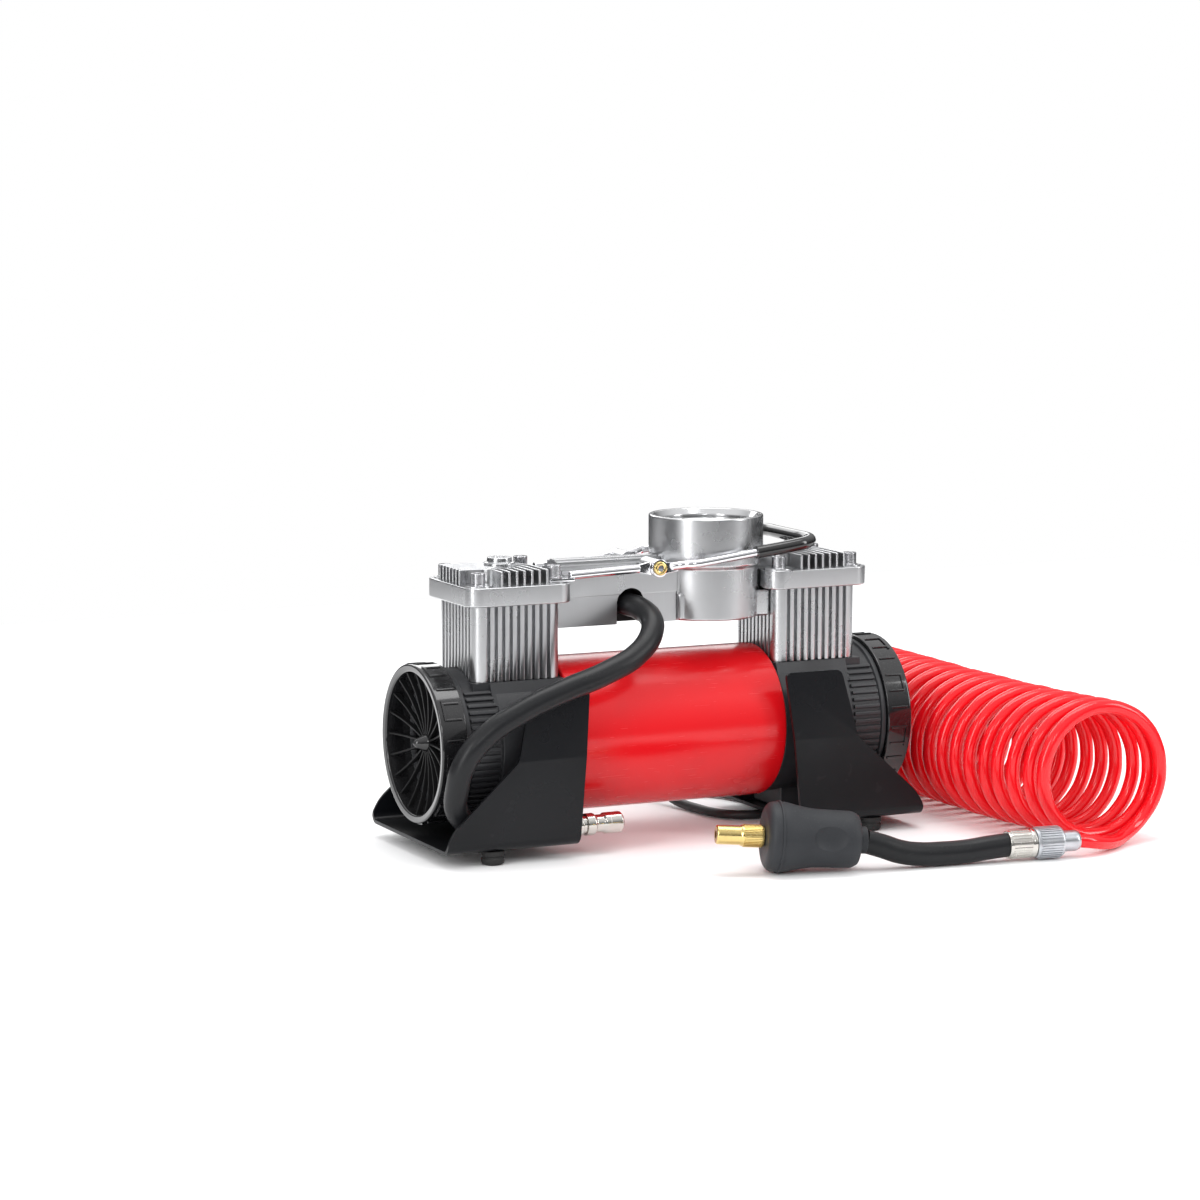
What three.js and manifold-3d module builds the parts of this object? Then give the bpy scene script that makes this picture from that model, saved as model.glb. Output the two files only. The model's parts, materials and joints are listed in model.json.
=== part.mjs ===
// Twin-cylinder 12 V air compressor with a folded carrying handle, an outlet hose
// and a loose spiral tyre hose.
// Millimetres, +Z up. X runs along the motor shaft, -Y is the front, and the origin
// is on the floor under the middle of the compressor.
import * as THREE from 'three';
import { mergeVertices } from 'three/addons/utils/BufferGeometryUtils.js';
import Module from 'manifold-3d';

const wasm = await Module();
wasm.setup();

// ---- Driving dimensions ------------------------------------------------------
const GAP = 0.3; // between pieces that touch
const RUN = 0.1; // radial clearance of a turning fit

// Motor
const MOTOR_R = 45; // can, outside
const MOTOR_L = 134;
const MOTOR_WALL = 3;
const SHAFT_R = 5;
const MAGNET_T = 7.2;
const AIR_GAP = 1.5; // armature to magnet
const BEARING_R = 13;
const BEARING_W = 7;

// Pump: crankcase, cylinder and head
const CASE_R = 43.5;
const CASE_BORE_R = 33; // crank chamber
const CASE_WEB = 9; // wall between motor and crank chamber
const DECK_RISE = 2.4; // deck above where the cylinder's sides meet the round case
const RIB_BAND = 11.5; // ribbed band outboard of the cylinder
const CYL_W = 54; // square ribbed block
const CYL_INSET = 1.2; // block to the motor end of the crankcase
const CYL_H = 43;
const CYL_CORNER = 5.5;
const BORE_R = 20;
const STROKE = 12;
const COVER_R = 45.5;
const COVER_L = 16;
const COVER_RIM = 4.5;
const COVER_BLADES = 20;
const HEAD_W = 65.4;
const HEAD_PLATE = 10.9;
const HEAD_CORNER = 9;
const FIN_H = 8.6;
const FIN_T = 1.7;
const FIN_PITCH = 4.67;
const FIN_COUNT = 7;
const FIN_FIRST = -11.5; // first fin from the cylinder axis
const GROOVE_COUNT = 9; // on each side of a cylinder
const GROOVE_PITCH = 4.62;
const GROOVE_DEPTH = 3;
const GROOVE_W = 1.6;
const CAP_H = 4.6; // round cap above the fins
const SCREW_AT = 23.5; // head screw centres from the cylinder axis
const SCREW_HEAD_R = 4.1;
const SCREW_HEAD_H = 7.4;
const SCREW_R = 1.75;
const SCREW_GRIP = 12; // thread in the cylinder

// Manifold and gauge
const MANIFOLD_W = 35;
const MANIFOLD_H = 30;
const CROWN_H = 7.5; // ribbed top above the side bands
const BAND_PROUD = 0.8;
const NOTCH_X = -20.6;
const NOTCH_R = 8.6;
const NOTCH_DEPTH = 12;
const BOSS_OUT = 7; // rivet bosses beyond the manifold's sides
const DIAL_R = 27;
const POD_WALL = 6.5; // upper drum round the dial
const POD_STEP = 2.5; // lower drum inside the upper one
const POD_TOP = 29.5; // height of the upper drum
const POD_TO_HEAD = 26.6; // drum axis to the edge of the right head
const CUP_DEPTH = 18;
const COLLAR_W = 40;

// Stand
const FOOT_R = 6.5;
const FOOT_H = 8;
const FOOT_X = 121;
const FOOT_Y = 48;
const SHEET = 2; // bracket sheet
const SADDLE_H = 8; // crankcase foot between case and bracket
const SADDLE_W = 34;
const TAB_SPACE = 4; // end cover to bracket tab
const BEND_R = 6;

// Handle
const PIVOT_X = -8;
const WIRE_R = 2.5;
const GRIP_R = 3.8;
const BAIL_END = 5.5; // cross bar inboard of the right cylinder's axis
const BAIL_SPACE = 1.5; // handle arm to the gauge drum
const BAIL_CORNER = 13;
const EYE_R = 5.2;
const EYE_T = 2.5;
const RIVET_R = 2.6;
const STAY_T = 2;
const STAY_TAB_W = 8;

// Hoses and lead
const HOSE_R = 6.7;
const WHIP_R = 6.8;
const TUBE_R = 4; // spiral tube
const SPIRAL_R = 42; // outside of the spiral
const LEAD_R = 2.75;
const LEAD_X = 38; // where the lead leaves the can
const GLAND_L = 22;
const LEAD_COIL_R = 30; // middle of the turns
const LEAD_COIL_T = 22;
const LEAD_COIL_AT = [-30, 142];
const PLUG_AT = [-50, 202, 13.3];

const SEG = 28;
const FINE = 16;
const BIG = 36;

// ---- Places worked out from the dimensions ----------------------------------
const canEnd = MOTOR_L / 2;
const magnetOut = MOTOR_R - MOTOR_WALL - GAP;
const magnetIn = magnetOut - MAGNET_T;
const armatureR = magnetIn - AIR_GAP;
const caseIn = canEnd + GAP;
const cylX = caseIn + CYL_INSET + CYL_W / 2;
const caseOut = caseIn + CYL_INSET + CYL_W + RIB_BAND;
const coverIn = caseOut + GAP;
const coverOut = coverIn + COVER_L;
const baseTop = FOOT_H + SHEET;
const axisZ = baseTop + SADDLE_H + Math.max(MOTOR_R, CASE_R);
const deckZ = axisZ + Math.sqrt(CASE_R ** 2 - (CYL_W / 2) ** 2) + DECK_RISE;
const cylZ = deckZ + GAP;
const headZ = cylZ + CYL_H + GAP;
const plateTop = headZ + HEAD_PLATE;
const finTop = plateTop + FIN_H;
const bandTop = plateTop + 2.5;
const manifoldZ = bandTop - MANIFOLD_H;
const podTop = bandTop + POD_TOP;
const podX = cylX - HEAD_W / 2 - POD_TO_HEAD;
const podR = DIAL_R + POD_WALL;
const podLowerR = podR - POD_STEP;
const podCollarX = podX - Math.sqrt(podLowerR ** 2 - (MANIFOLD_W / 2) ** 2) - 1.5;
const notchZ = headZ + 4.1 - NOTCH_R;
const bossY = MANIFOLD_W / 2 + BOSS_OUT;
const pivotZ = plateTop + 5.3;
const tabY = Math.max(COVER_R, MOTOR_R) + TAB_SPACE + SHEET;
const foldY = tabY + 3;
const bendY = tabY + 5.5;
const stayEyeY = bossY + GAP;
const bailEyeY = stayEyeY + EYE_T + GAP;
const armY = podR + WIRE_R + BAIL_SPACE;
const nippleY = -(bendY - SHEET - HOSE_R - 4.3);
const nippleZ = baseTop + HOSE_R + 0.2;

// ---- Solid helpers -------------------------------------------------------------
function toSolid(geometry) {
  const bare = geometry.clone();
  bare.deleteAttribute('normal');
  bare.deleteAttribute('uv');
  const merged = mergeVertices(bare, 1e-5);
  const vertProperties = new Float32Array(merged.attributes.position.array);
  const triVerts = new Uint32Array(merged.index.array);
  return new wasm.Manifold(new wasm.Mesh({ numProp: 3, vertProperties, triVerts }));
}

function toGeometry(solid) {
  const mesh = solid.getMesh();
  const geometry = new THREE.BufferGeometry();
  const points = new Float32Array(mesh.numVert * 3);
  for (let i = 0; i < mesh.numVert; i += 1) {
    points[i * 3] = mesh.vertProperties[i * mesh.numProp];
    points[i * 3 + 1] = mesh.vertProperties[i * mesh.numProp + 1];
    points[i * 3 + 2] = mesh.vertProperties[i * mesh.numProp + 2];
  }
  geometry.setAttribute('position', new THREE.BufferAttribute(points, 3));
  geometry.setIndex(new THREE.BufferAttribute(new Uint32Array(mesh.triVerts), 1));
  return geometry;
}

function join(first, ...others) {
  let solid = toSolid(first);
  for (const other of others) solid = solid.add(toSolid(other));
  return toGeometry(solid);
}

function cut(first, ...others) {
  let solid = toSolid(first);
  for (const other of others) solid = solid.subtract(toSolid(other));
  return toGeometry(solid);
}

function common(first, second) {
  return toGeometry(toSolid(first).intersect(toSolid(second)));
}

function box(low, high) {
  const size = high.map((value, i) => value - low[i]);
  const middle = high.map((value, i) => (value + low[i]) / 2);
  return new THREE.BoxGeometry(...size).translate(...middle);
}

// A turned solid: profile points are [radius, height], about Z.
function turned(profile, segments = SEG) {
  const points = profile.map(([r, z]) => new THREE.Vector2(r, z));
  const geometry = new THREE.LatheGeometry(points, segments);
  geometry.rotateX(Math.PI / 2);
  return geometry;
}

function rod(radius, from, to, segments = FINE) {
  const start = new THREE.Vector3(...from);
  const axis = new THREE.Vector3(...to).sub(start);
  const geometry = new THREE.CylinderGeometry(radius, radius, axis.length(), segments);
  const turn = new THREE.Quaternion();
  turn.setFromUnitVectors(new THREE.Vector3(0, 1, 0), axis.clone().normalize());
  geometry.applyQuaternion(turn);
  const middle = start.addScaledVector(axis, 0.5);
  return geometry.translate(middle.x, middle.y, middle.z);
}

// A ring between two radii, its axis along X, Y or Z.
function ring(outer, inner, from, to, axis = 'z', segments = SEG) {
  const profile = [[inner, from], [outer, from], [outer, to], [inner, to], [inner, from]];
  const geometry = turned(profile, segments);
  if (axis === 'x') geometry.rotateY(Math.PI / 2);
  if (axis === 'y') geometry.rotateX(-Math.PI / 2);
  return geometry;
}

function turnedX(profile, segments = SEG) {
  return turned(profile, segments).rotateY(Math.PI / 2);
}

function outline(points) {
  const shape = new THREE.Shape();
  points.forEach(([a, b], i) => (i ? shape.lineTo(a, b) : shape.moveTo(a, b)));
  shape.closePath();
  return shape;
}

function roundedSquare(width, radius, depth = width) {
  const a = width / 2;
  const b = depth / 2;
  const shape = new THREE.Shape();
  shape.moveTo(-a + radius, -b);
  shape.lineTo(a - radius, -b);
  shape.absarc(a - radius, -b + radius, radius, -Math.PI / 2, 0, false);
  shape.lineTo(a, b - radius);
  shape.absarc(a - radius, b - radius, radius, 0, Math.PI / 2, false);
  shape.lineTo(-a + radius, b);
  shape.absarc(-a + radius, b - radius, radius, Math.PI / 2, Math.PI, false);
  shape.lineTo(-a, -b + radius);
  shape.absarc(-a + radius, -b + radius, radius, Math.PI, Math.PI * 1.5, false);
  return shape;
}

function extruded(shape, from, to, curveSegments = 4) {
  const settings = { depth: to - from, bevelEnabled: false, curveSegments };
  return new THREE.ExtrudeGeometry(shape, settings).translate(0, 0, from);
}

// An outline of (y, z) points pushed along X, and one of (x, z) points along Y.
function extrudedX(shape, from, to) {
  const geometry = extruded(shape, from, to);
  const turn = new THREE.Matrix4();
  turn.set(0, 0, 1, 0, 1, 0, 0, 0, 0, 1, 0, 0, 0, 0, 0, 1);
  return geometry.applyMatrix4(turn);
}

function extrudedY(shape, from, to) {
  return extruded(shape, -to, -from).rotateX(Math.PI / 2);
}

function circle(radius, sides) {
  const points = [];
  for (let i = 0; i < sides; i += 1) {
    const angle = (i / sides) * Math.PI * 2;
    points.push(new THREE.Vector2(radius * Math.cos(angle), radius * Math.sin(angle)));
  }
  return new THREE.Shape(points);
}

function tube(points, radius, steps, sides, hollow = 0) {
  const curve = new THREE.CatmullRomCurve3(points.map((p) => new THREE.Vector3(...p)));
  const shape = circle(radius, sides);
  if (hollow) shape.holes.push(circle(hollow, sides));
  return new THREE.ExtrudeGeometry(shape, { steps, extrudePath: curve, bevelEnabled: false });
}

// ---- The group, and finishes ------------------------------------------------
const compressor = new THREE.Group();

function add(name, geometry, color, roughness = 0.5, metalness = 0) {
  const material = new THREE.MeshStandardMaterial({ color, roughness, metalness });
  const mesh = new THREE.Mesh(geometry, material);
  mesh.name = name;
  compressor.add(mesh);
  return mesh;
}

// Runs a maker once for the left pump (-1) and once for the right (1).
function eachSide(make) {
  make('left', -1);
  make('right', 1);
}

// Puts a solid made for the right-hand side on either side by a half turn about Z,
// so that it is never mirrored inside out.
function placed(geometry, side) {
  return side < 0 ? geometry.rotateZ(Math.PI) : geometry;
}

// ---- Motor ---------------------------------------------------------------------
function motor() {
  add('motor_can', cut(
    ring(MOTOR_R, MOTOR_R - MOTOR_WALL, -canEnd, canEnd, 'x', BIG).translate(0, 0, axisZ),
    rod(LEAD_R + GAP, [LEAD_X, 0, axisZ], [LEAD_X, MOTOR_R + 1, axisZ]),
  ), 0xc8141c, 0.25, 0.1);

  const reach = canEnd - 20;
  const spread = THREE.MathUtils.degToRad(65);
  ['front', 'rear'].forEach((name, i) => {
    const middle = i ? 0 : Math.PI;
    const arc = new THREE.Shape();
    arc.absarc(0, 0, magnetOut, middle - spread, middle + spread, false);
    arc.absarc(0, 0, magnetIn, middle + spread, middle - spread, true);
    add(`magnet_${name}`, extrudedX(arc, -reach, reach).translate(0, 0, axisZ), 0x34363a, 0.7);
  });

  const crankReach = cylX - 9;
  add('motor_shaft', rod(SHAFT_R, [-crankReach, 0, axisZ], [crankReach, 0, axisZ]), 0xb8bcc0, 0.25, 1);
  const core = turnedX([
    [SHAFT_R + GAP, -42], [armatureR, -42], [armatureR, 36], [14, 36], [14, 58],
    [SHAFT_R + GAP, 58], [SHAFT_R + GAP, -42],
  ]);
  add('armature', core.translate(0, 0, axisZ), 0x8a5a34, 0.5, 0.6);
}

// ---- Crankcases, bearings, cranks and end covers ------------------------------
// A flange on the motor's side reaches the middle of the can's wall.
function crankcase(name, side) {
  const flangeR = Math.max(CASE_R, MOTOR_R - MOTOR_WALL / 2);
  const body = join(
    rod(CASE_R, [caseIn, 0, axisZ], [caseOut, 0, axisZ], BIG),
    rod(flangeR, [caseIn, 0, axisZ], [caseIn + CYL_INSET / 2, 0, axisZ], BIG),
  );
  const half = CYL_W / 2;
  const deck = box([cylX - half, -half, axisZ], [cylX + half, half, deckZ]);
  const saddle = box(
    [cylX - 18, -SADDLE_W / 2, baseTop + GAP],
    [cylX + 14, SADDLE_W / 2, axisZ - CASE_R + 6],
  );
  const seat = box(
    [cylX - half - GAP - CYL_INSET - 1, -flangeR, deckZ],
    [cylX + half + GAP, flangeR, axisZ + flangeR + 1],
  );
  const chamber = rod(CASE_BORE_R, [caseIn + CASE_WEB, 0, axisZ], [caseOut + 1, 0, axisZ], SEG);
  const bearing = rod(BEARING_R + GAP, [caseIn - 1, 0, axisZ], [caseIn + CASE_WEB + 1, 0, axisZ]);
  const throat = rod(BORE_R, [cylX, 0, axisZ], [cylX, 0, deckZ + 2], SEG);
  const geometry = cut(join(body, deck, saddle), seat, chamber, bearing, throat);
  add(`${name}_crankcase`, placed(geometry, side), 0x2c2e31, 0.55, 0.3);

  const race = ring(BEARING_R, SHAFT_R + GAP, caseIn + 1, caseIn + 1 + BEARING_W, 'x', FINE);
  add(`${name}_bearing`, placed(race.translate(0, 0, axisZ), side), 0xb0b4b8, 0.3, 1);
}

function endCover(name, side) {
  const inner = COVER_R - COVER_RIM;
  const rim = ring(COVER_R, inner, coverIn, coverOut, 'x', BIG);
  const hub = turnedX([[0, coverIn + 3], [5.5, coverIn + 3], [5.5, coverIn + 8], [0, coverOut - 1]], FINE);
  const blades = [];
  for (let i = 0; i < COVER_BLADES; i += 1) {
    const blade = extrudedY(outline([
      [coverIn + 3.5, 3], [coverIn + 7.5, 3], [coverOut - 2, inner + 1], [coverOut - 6, inner + 1],
    ]), -0.7, 0.7);
    blades.push(blade.rotateX((i / COVER_BLADES) * Math.PI * 2));
  }
  const geometry = join(rim, hub, ...blades).translate(0, 0, axisZ);
  add(`${name}_end_cover`, placed(geometry, side), 0x0c0d0e, 0.18);
}

// The crank disc turns with the shaft. Its pin stops short of the rod's eye, so the
// rod, which has a slide of its own, is never cut by the pin as it goes round.
function crank(name, side, top) {
  const pinZ = axisZ + (top ? 1 : -1) * (STROKE / 2);
  const heavyZ = axisZ - (top ? 1 : -1) * 12;
  const from = cylX - 8.5;
  const to = cylX - 4.5;
  const disc = rod(13, [from, 0, axisZ], [to, 0, axisZ], FINE);
  const weight = rod(15, [from, 0, heavyZ], [to, 0, heavyZ], FINE);
  const pin = rod(4, [to - 1, 0, pinZ], [cylX - 3.5, 0, pinZ], FINE);
  add(`${name}_crank`, placed(join(disc, weight, pin), side), 0x777b80, 0.4, 1);
}

function piston(name, side, top) {
  const pinZ = axisZ + (top ? 1 : -1) * (STROKE / 2);
  const crownZ = headZ - 0.8 - (top ? 0 : STROKE);
  const crown = rod(BORE_R - 0.5, [cylX, 0, crownZ - 7], [cylX, 0, crownZ], SEG);
  const eye = rod(9, [cylX - 3, 0, pinZ], [cylX + 4, 0, pinZ], FINE);
  const shank = box([cylX - 3, -5, pinZ + 5], [cylX + 4, 5, crownZ - 5]);
  const bore = rod(5, [cylX - 4, 0, pinZ], [cylX + 5, 0, pinZ], FINE);
  add(`${name}_piston_rod`, placed(cut(join(eye, shank, crown), bore), side), 0xa9adb2, 0.4, 0.9);
}

// ---- Cylinders and heads --------------------------------------------------------
function cylinder(name, side) {
  const half = CYL_W / 2;
  const spread = CYL_W / 54; // the grooves follow the width of the block
  let block = extruded(roundedSquare(CYL_W, CYL_CORNER), cylZ, headZ - GAP);
  const grooves = [];
  for (let i = 0; i < GROOVE_COUNT; i += 1) {
    const at = (i - (GROOVE_COUNT - 1) / 2) * GROOVE_PITCH * spread;
    const [left, right] = [at - GROOVE_W / 2, at + GROOVE_W / 2];
    for (const [a, b] of [[-half - 1, -half + GROOVE_DEPTH], [half - GROOVE_DEPTH, half + 1]]) {
      grooves.push(box([left, a, cylZ - 1], [right, b, headZ + 1]));
      grooves.push(box([a, left, cylZ - 1], [b, right, headZ + 1]));
    }
  }
  block = cut(block, ...grooves, rod(BORE_R, [0, 0, cylZ - 1], [0, 0, headZ + 1], SEG));
  const holes = screwPlaces().map(([x, y]) => (
    rod(SCREW_R + GAP, [x, y, headZ - SCREW_GRIP - GAP], [x, y, headZ + 1], 12)));
  block = cut(block, ...holes).translate(cylX, 0, 0);
  add(`${name}_cylinder`, placed(block, side), 0xa4a7aa, 0.35, 0.9);
}

function screwPlaces() {
  return [[-SCREW_AT, -SCREW_AT], [SCREW_AT, -SCREW_AT], [-SCREW_AT, SCREW_AT], [SCREW_AT, SCREW_AT]];
}

// The fins are nested angles round the front left screw. Both heads are the same part: each
// leaves room for its screws' heads and for the two tabs of the handle's stays.
function head(name, side) {
  const edge = HEAD_W / 2;
  const recess = CYL_W - 8;
  let body = extruded(roundedSquare(HEAD_W, HEAD_CORNER), headZ, plateTop);
  body = cut(body, extruded(roundedSquare(recess, 4), headZ - 1, headZ + 3));
  const fins = [];
  for (let k = 0; k < FIN_COUNT; k += 1) {
    const at = FIN_FIRST + k * FIN_PITCH;
    const fin = outline([
      [-edge, at - FIN_T / 2], [at - FIN_T / 2, at - FIN_T / 2], [at - FIN_T / 2, -edge],
      [at + FIN_T / 2, -edge], [at + FIN_T / 2, at + FIN_T / 2], [-edge, at + FIN_T / 2],
    ]);
    fins.push(extruded(fin, plateTop - 0.5, finTop));
  }
  const pad = rod(9, [0, 0, plateTop - 0.5], [0, 0, finTop + 2], FINE);
  const cap = rod(7, [0, 0, finTop], [0, 0, finTop + CAP_H], FINE);
  const tabRoom = [-1, 1].map((way) => {
    const reach = STAY_TAB_W / 2 + GAP;
    return box(
      [SCREW_AT - 5 - GAP, way * SCREW_AT - reach, plateTop + GAP / 2],
      [edge + 1, way * SCREW_AT + reach, finTop + 1],
    );
  });
  const headRoom = screwPlaces().map(([x, y]) => (
    rod(SCREW_HEAD_R + GAP, [x, y, plateTop + GAP / 2], [x, y, finTop + 1], FINE)));
  const finned = cut(join(fins[0], ...fins.slice(1), pad), ...tabRoom, ...headRoom);
  body = join(body, finned, cap);
  const holes = screwPlaces().map(([x, y]) => (
    rod(SCREW_R + GAP, [x, y, headZ - 1], [x, y, finTop + 1], 12)));
  add(`${name}_head`, cut(body, ...holes).translate(side * cylX, 0, 0), 0xb4b7ba, 0.32, 0.9);
  const plate = extruded(roundedSquare(recess - GAP * 2, 4), headZ + GAP, headZ + 3 - GAP);
  add(`${name}_valve_plate`, cut(plate, ...holes).translate(side * cylX, 0, 0), 0x8c9094, 0.4, 0.9);
}

function headScrews(name, side) {
  screwPlaces().forEach(([x, y], i) => {
    const overStay = side < 0 && x > 0;
    const seat = plateTop + GAP + (overStay ? STAY_T + GAP : 0);
    const screw = join(
      rod(SCREW_HEAD_R, [0, 0, seat], [0, 0, seat + SCREW_HEAD_H], FINE),
      rod(SCREW_R, [0, 0, headZ - SCREW_GRIP], [0, 0, seat + 1], 12),
    );
    const hexed = cut(screw, rod(2.2, [0, 0, seat + SCREW_HEAD_H - 3], [0, 0, seat + SCREW_HEAD_H + 1], 6));
    add(`${name}_head_screw_${i + 1}`, hexed.translate(side * cylX + x, y, 0), 0xc4c7ca, 0.2, 1);
  });
}

// ---- Manifold and pressure gauge ---------------------------------------------
function manifold() {
  const half = MANIFOLD_W / 2;
  const crown = bandTop + CROWN_H;
  const shoulder = [
    [half, bandTop], [half - 3.5, bandTop], [half - 3.5, bandTop + 2.4], [half - 7, bandTop + 2.4],
    [half - 7, bandTop + 4.6], [half - 10.5, bandTop + 4.6], [half - 10.5, crown - 1],
    [half - 14, crown - 1], [half - 14, crown],
  ];
  const bandLow = headZ + 0.5;
  const inset = half - BAND_PROUD;
  const upper = outline([
    [-half, bandLow], [half, bandLow], ...shoulder, ...shoulder.slice().reverse().map(([y, z]) => [-y, z]),
  ]);
  const headEdge = -cylX + HEAD_W / 2 + GAP;
  const cylEdge = -cylX + CYL_W / 2 + GAP;
  const top = extrudedX(upper, headEdge, podX);
  const lower = box([cylEdge, -inset, manifoldZ], [podX, inset, headZ - GAP]);
  const filler = box([headEdge, -inset, headZ - 2], [podX, inset, bandLow + 1]);
  const notch = join(
    rod(NOTCH_R, [NOTCH_X, -half - 1, notchZ], [NOTCH_X, -half + NOTCH_DEPTH, notchZ], FINE),
    box([NOTCH_X - NOTCH_R, -half - 1, manifoldZ - 1], [NOTCH_X + NOTCH_R, -half + NOTCH_DEPTH, notchZ]),
  );
  const bosses = [-1, 1].map((way) => (
    rod(EYE_R, [PIVOT_X, 0, pivotZ], [PIVOT_X, way * bossY, pivotZ], FINE)));
  const bores = [-1, 1].map((way) => (
    rod(RIVET_R + GAP, [PIVOT_X, way * (bossY - 5), pivotZ], [PIVOT_X, way * (bossY + 1), pivotZ], FINE)));
  const drumR = Math.max(podR, podLowerR) + GAP;
  const drum = rod(drumR, [podX, 0, manifoldZ - 1], [podX, 0, podTop], BIG);
  const collar = box([podCollarX - GAP, -COLLAR_W, manifoldZ - 1], [podX + 1, COLLAR_W, podTop]);
  add('manifold', cut(join(top, lower, filler, ...bosses), notch, drum, collar, ...bores), 0xb0b3b6, 0.3, 0.9);
}

function gaugePod() {
  const cup = podTop - CUP_DEPTH;
  const lip = turned([
    [0, manifoldZ], [podLowerR, manifoldZ], [podLowerR, bandTop], [podR, bandTop],
    [podR, podTop - 0.8], [podR - 0.8, podTop], [podR - 3, podTop],
    [DIAL_R + 0.8, podTop - 3.4], [DIAL_R + 0.8, cup], [0, cup],
  ], BIG).translate(podX, 0, 0);
  const collar = box([podCollarX, -COLLAR_W / 2, manifoldZ], [podX, COLLAR_W / 2, headZ]);
  const neck = box([podCollarX, -MANIFOLD_W / 2, headZ - 1], [podX, MANIFOLD_W / 2, bandTop]);
  const link = box([podX, -COLLAR_W / 2, manifoldZ], [cylX - CYL_W / 2 - GAP, COLLAR_W / 2, headZ - 1]);
  const trim = box([cylX - HEAD_W / 2 - GAP, -50, headZ - GAP], [cylX, 50, finTop + GAP]);
  const under = box([cylX - CYL_W / 2 - GAP, -50, manifoldZ - 1], [cylX, 50, headZ]);
  add('gauge_pod', cut(join(lip, collar, neck, link), trim, under), 0xa9acaf, 0.3, 0.9);

  const caseProfile = [
    [0, cup + GAP], [DIAL_R + 0.5, cup + GAP], [DIAL_R + 0.5, cup + 12], [DIAL_R - 1, cup + 12],
    [DIAL_R - 1, cup + 6], [0, cup + 6],
  ];
  add('gauge_case', turned(caseProfile).translate(podX, 0, 0), 0x15171a, 0.5);
  const dial = ring(DIAL_R - 1.3, 1.5, cup + 6 + GAP, cup + 7.2, 'z', SEG);
  add('gauge_dial', dial.translate(podX, 0, 0), 0x0f1012, 0.6);
  const lens = rod(DIAL_R - 0.3, [podX, 0, cup + 12 + GAP], [podX, 0, cup + 14], SEG);
  add('gauge_lens', lens, 0xdfe6ea, 0.05);
  const needle = join(
    rod(1.2, [0, 0, cup + 6 + GAP], [0, 0, cup + 9.6], 16),
    rod(3, [0, 0, cup + 8], [0, 0, cup + 9.6], FINE),
    extruded(outline([[-7, -1.1], [20, -0.3], [20, 0.3], [-7, 1.1]]), cup + 8.4, cup + 9.2),
  ).rotateZ(THREE.MathUtils.degToRad(-135));
  add('gauge_needle', needle.translate(podX, 0, 0), 0xd8331e, 0.4);
}

// ---- Stand -----------------------------------------------------------------------
function bracket(name, side) {
  const top = axisZ + 34;
  const foldZ = axisZ - 5;
  const bendZ = FOOT_H + BEND_R;
  const wall = (inset) => {
    const low = FOOT_H + inset;
    const arc = [];
    for (let i = 0; i <= 4; i += 1) {
      const angle = (i / 4) * (Math.PI / 2);
      const r = BEND_R - inset;
      arc.push([bendY - BEND_R + r * Math.sin(angle), bendZ - r * Math.cos(angle)]);
    }
    return { low, side: [...arc, [foldY - inset, foldZ], [tabY - inset, top + 2]] };
  };
  const outer = wall(0).side;
  const inner = wall(SHEET).side;
  const flip = (points) => points.slice().reverse().map(([y, z]) => [-y, z]);
  const section = outline([...outer, ...inner.slice().reverse(), ...flip(inner).reverse(), ...flip(outer)]);
  const sheet = extrudedX(section, canEnd - 12, coverOut + 10);
  const far = coverOut + 1.7;
  const profile = outline([
    [canEnd + 4, FOOT_H - 1], [far, FOOT_H - 1], [far, FOOT_H + 6], [far - 4.5, FOOT_H + 14],
    [cylX + 12.5, foldZ], [cylX + 3.5, top], [canEnd - 4.5, top], [canEnd - 0.5, foldZ],
  ]);
  const geometry = common(sheet, extrudedY(profile, -bendY - 5, bendY + 5));
  add(`${name}_bracket`, placed(geometry, side), 0x17181a, 0.35, 0.1);
  [['front', -1], ['rear', 1]].forEach(([row, way]) => {
    const footTop = FOOT_H - GAP;
    const foot = turned([[0, 0], [FOOT_R - 0.8, 0], [FOOT_R, 1], [FOOT_R, footTop], [0, footTop]], FINE);
    add(`${name}_${row}_foot`, foot.translate(side * FOOT_X, way * FOOT_Y, 0), 0x0a0a0a, 0.9);
  });
}

// ---- Handle ----------------------------------------------------------------------
function flatEye(y, hole, way) {
  return ring(EYE_R, hole, way > 0 ? y : -y - EYE_T, way > 0 ? y + EYE_T : -y, 'y', FINE)
    .translate(PIVOT_X, 0, pivotZ);
}

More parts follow.
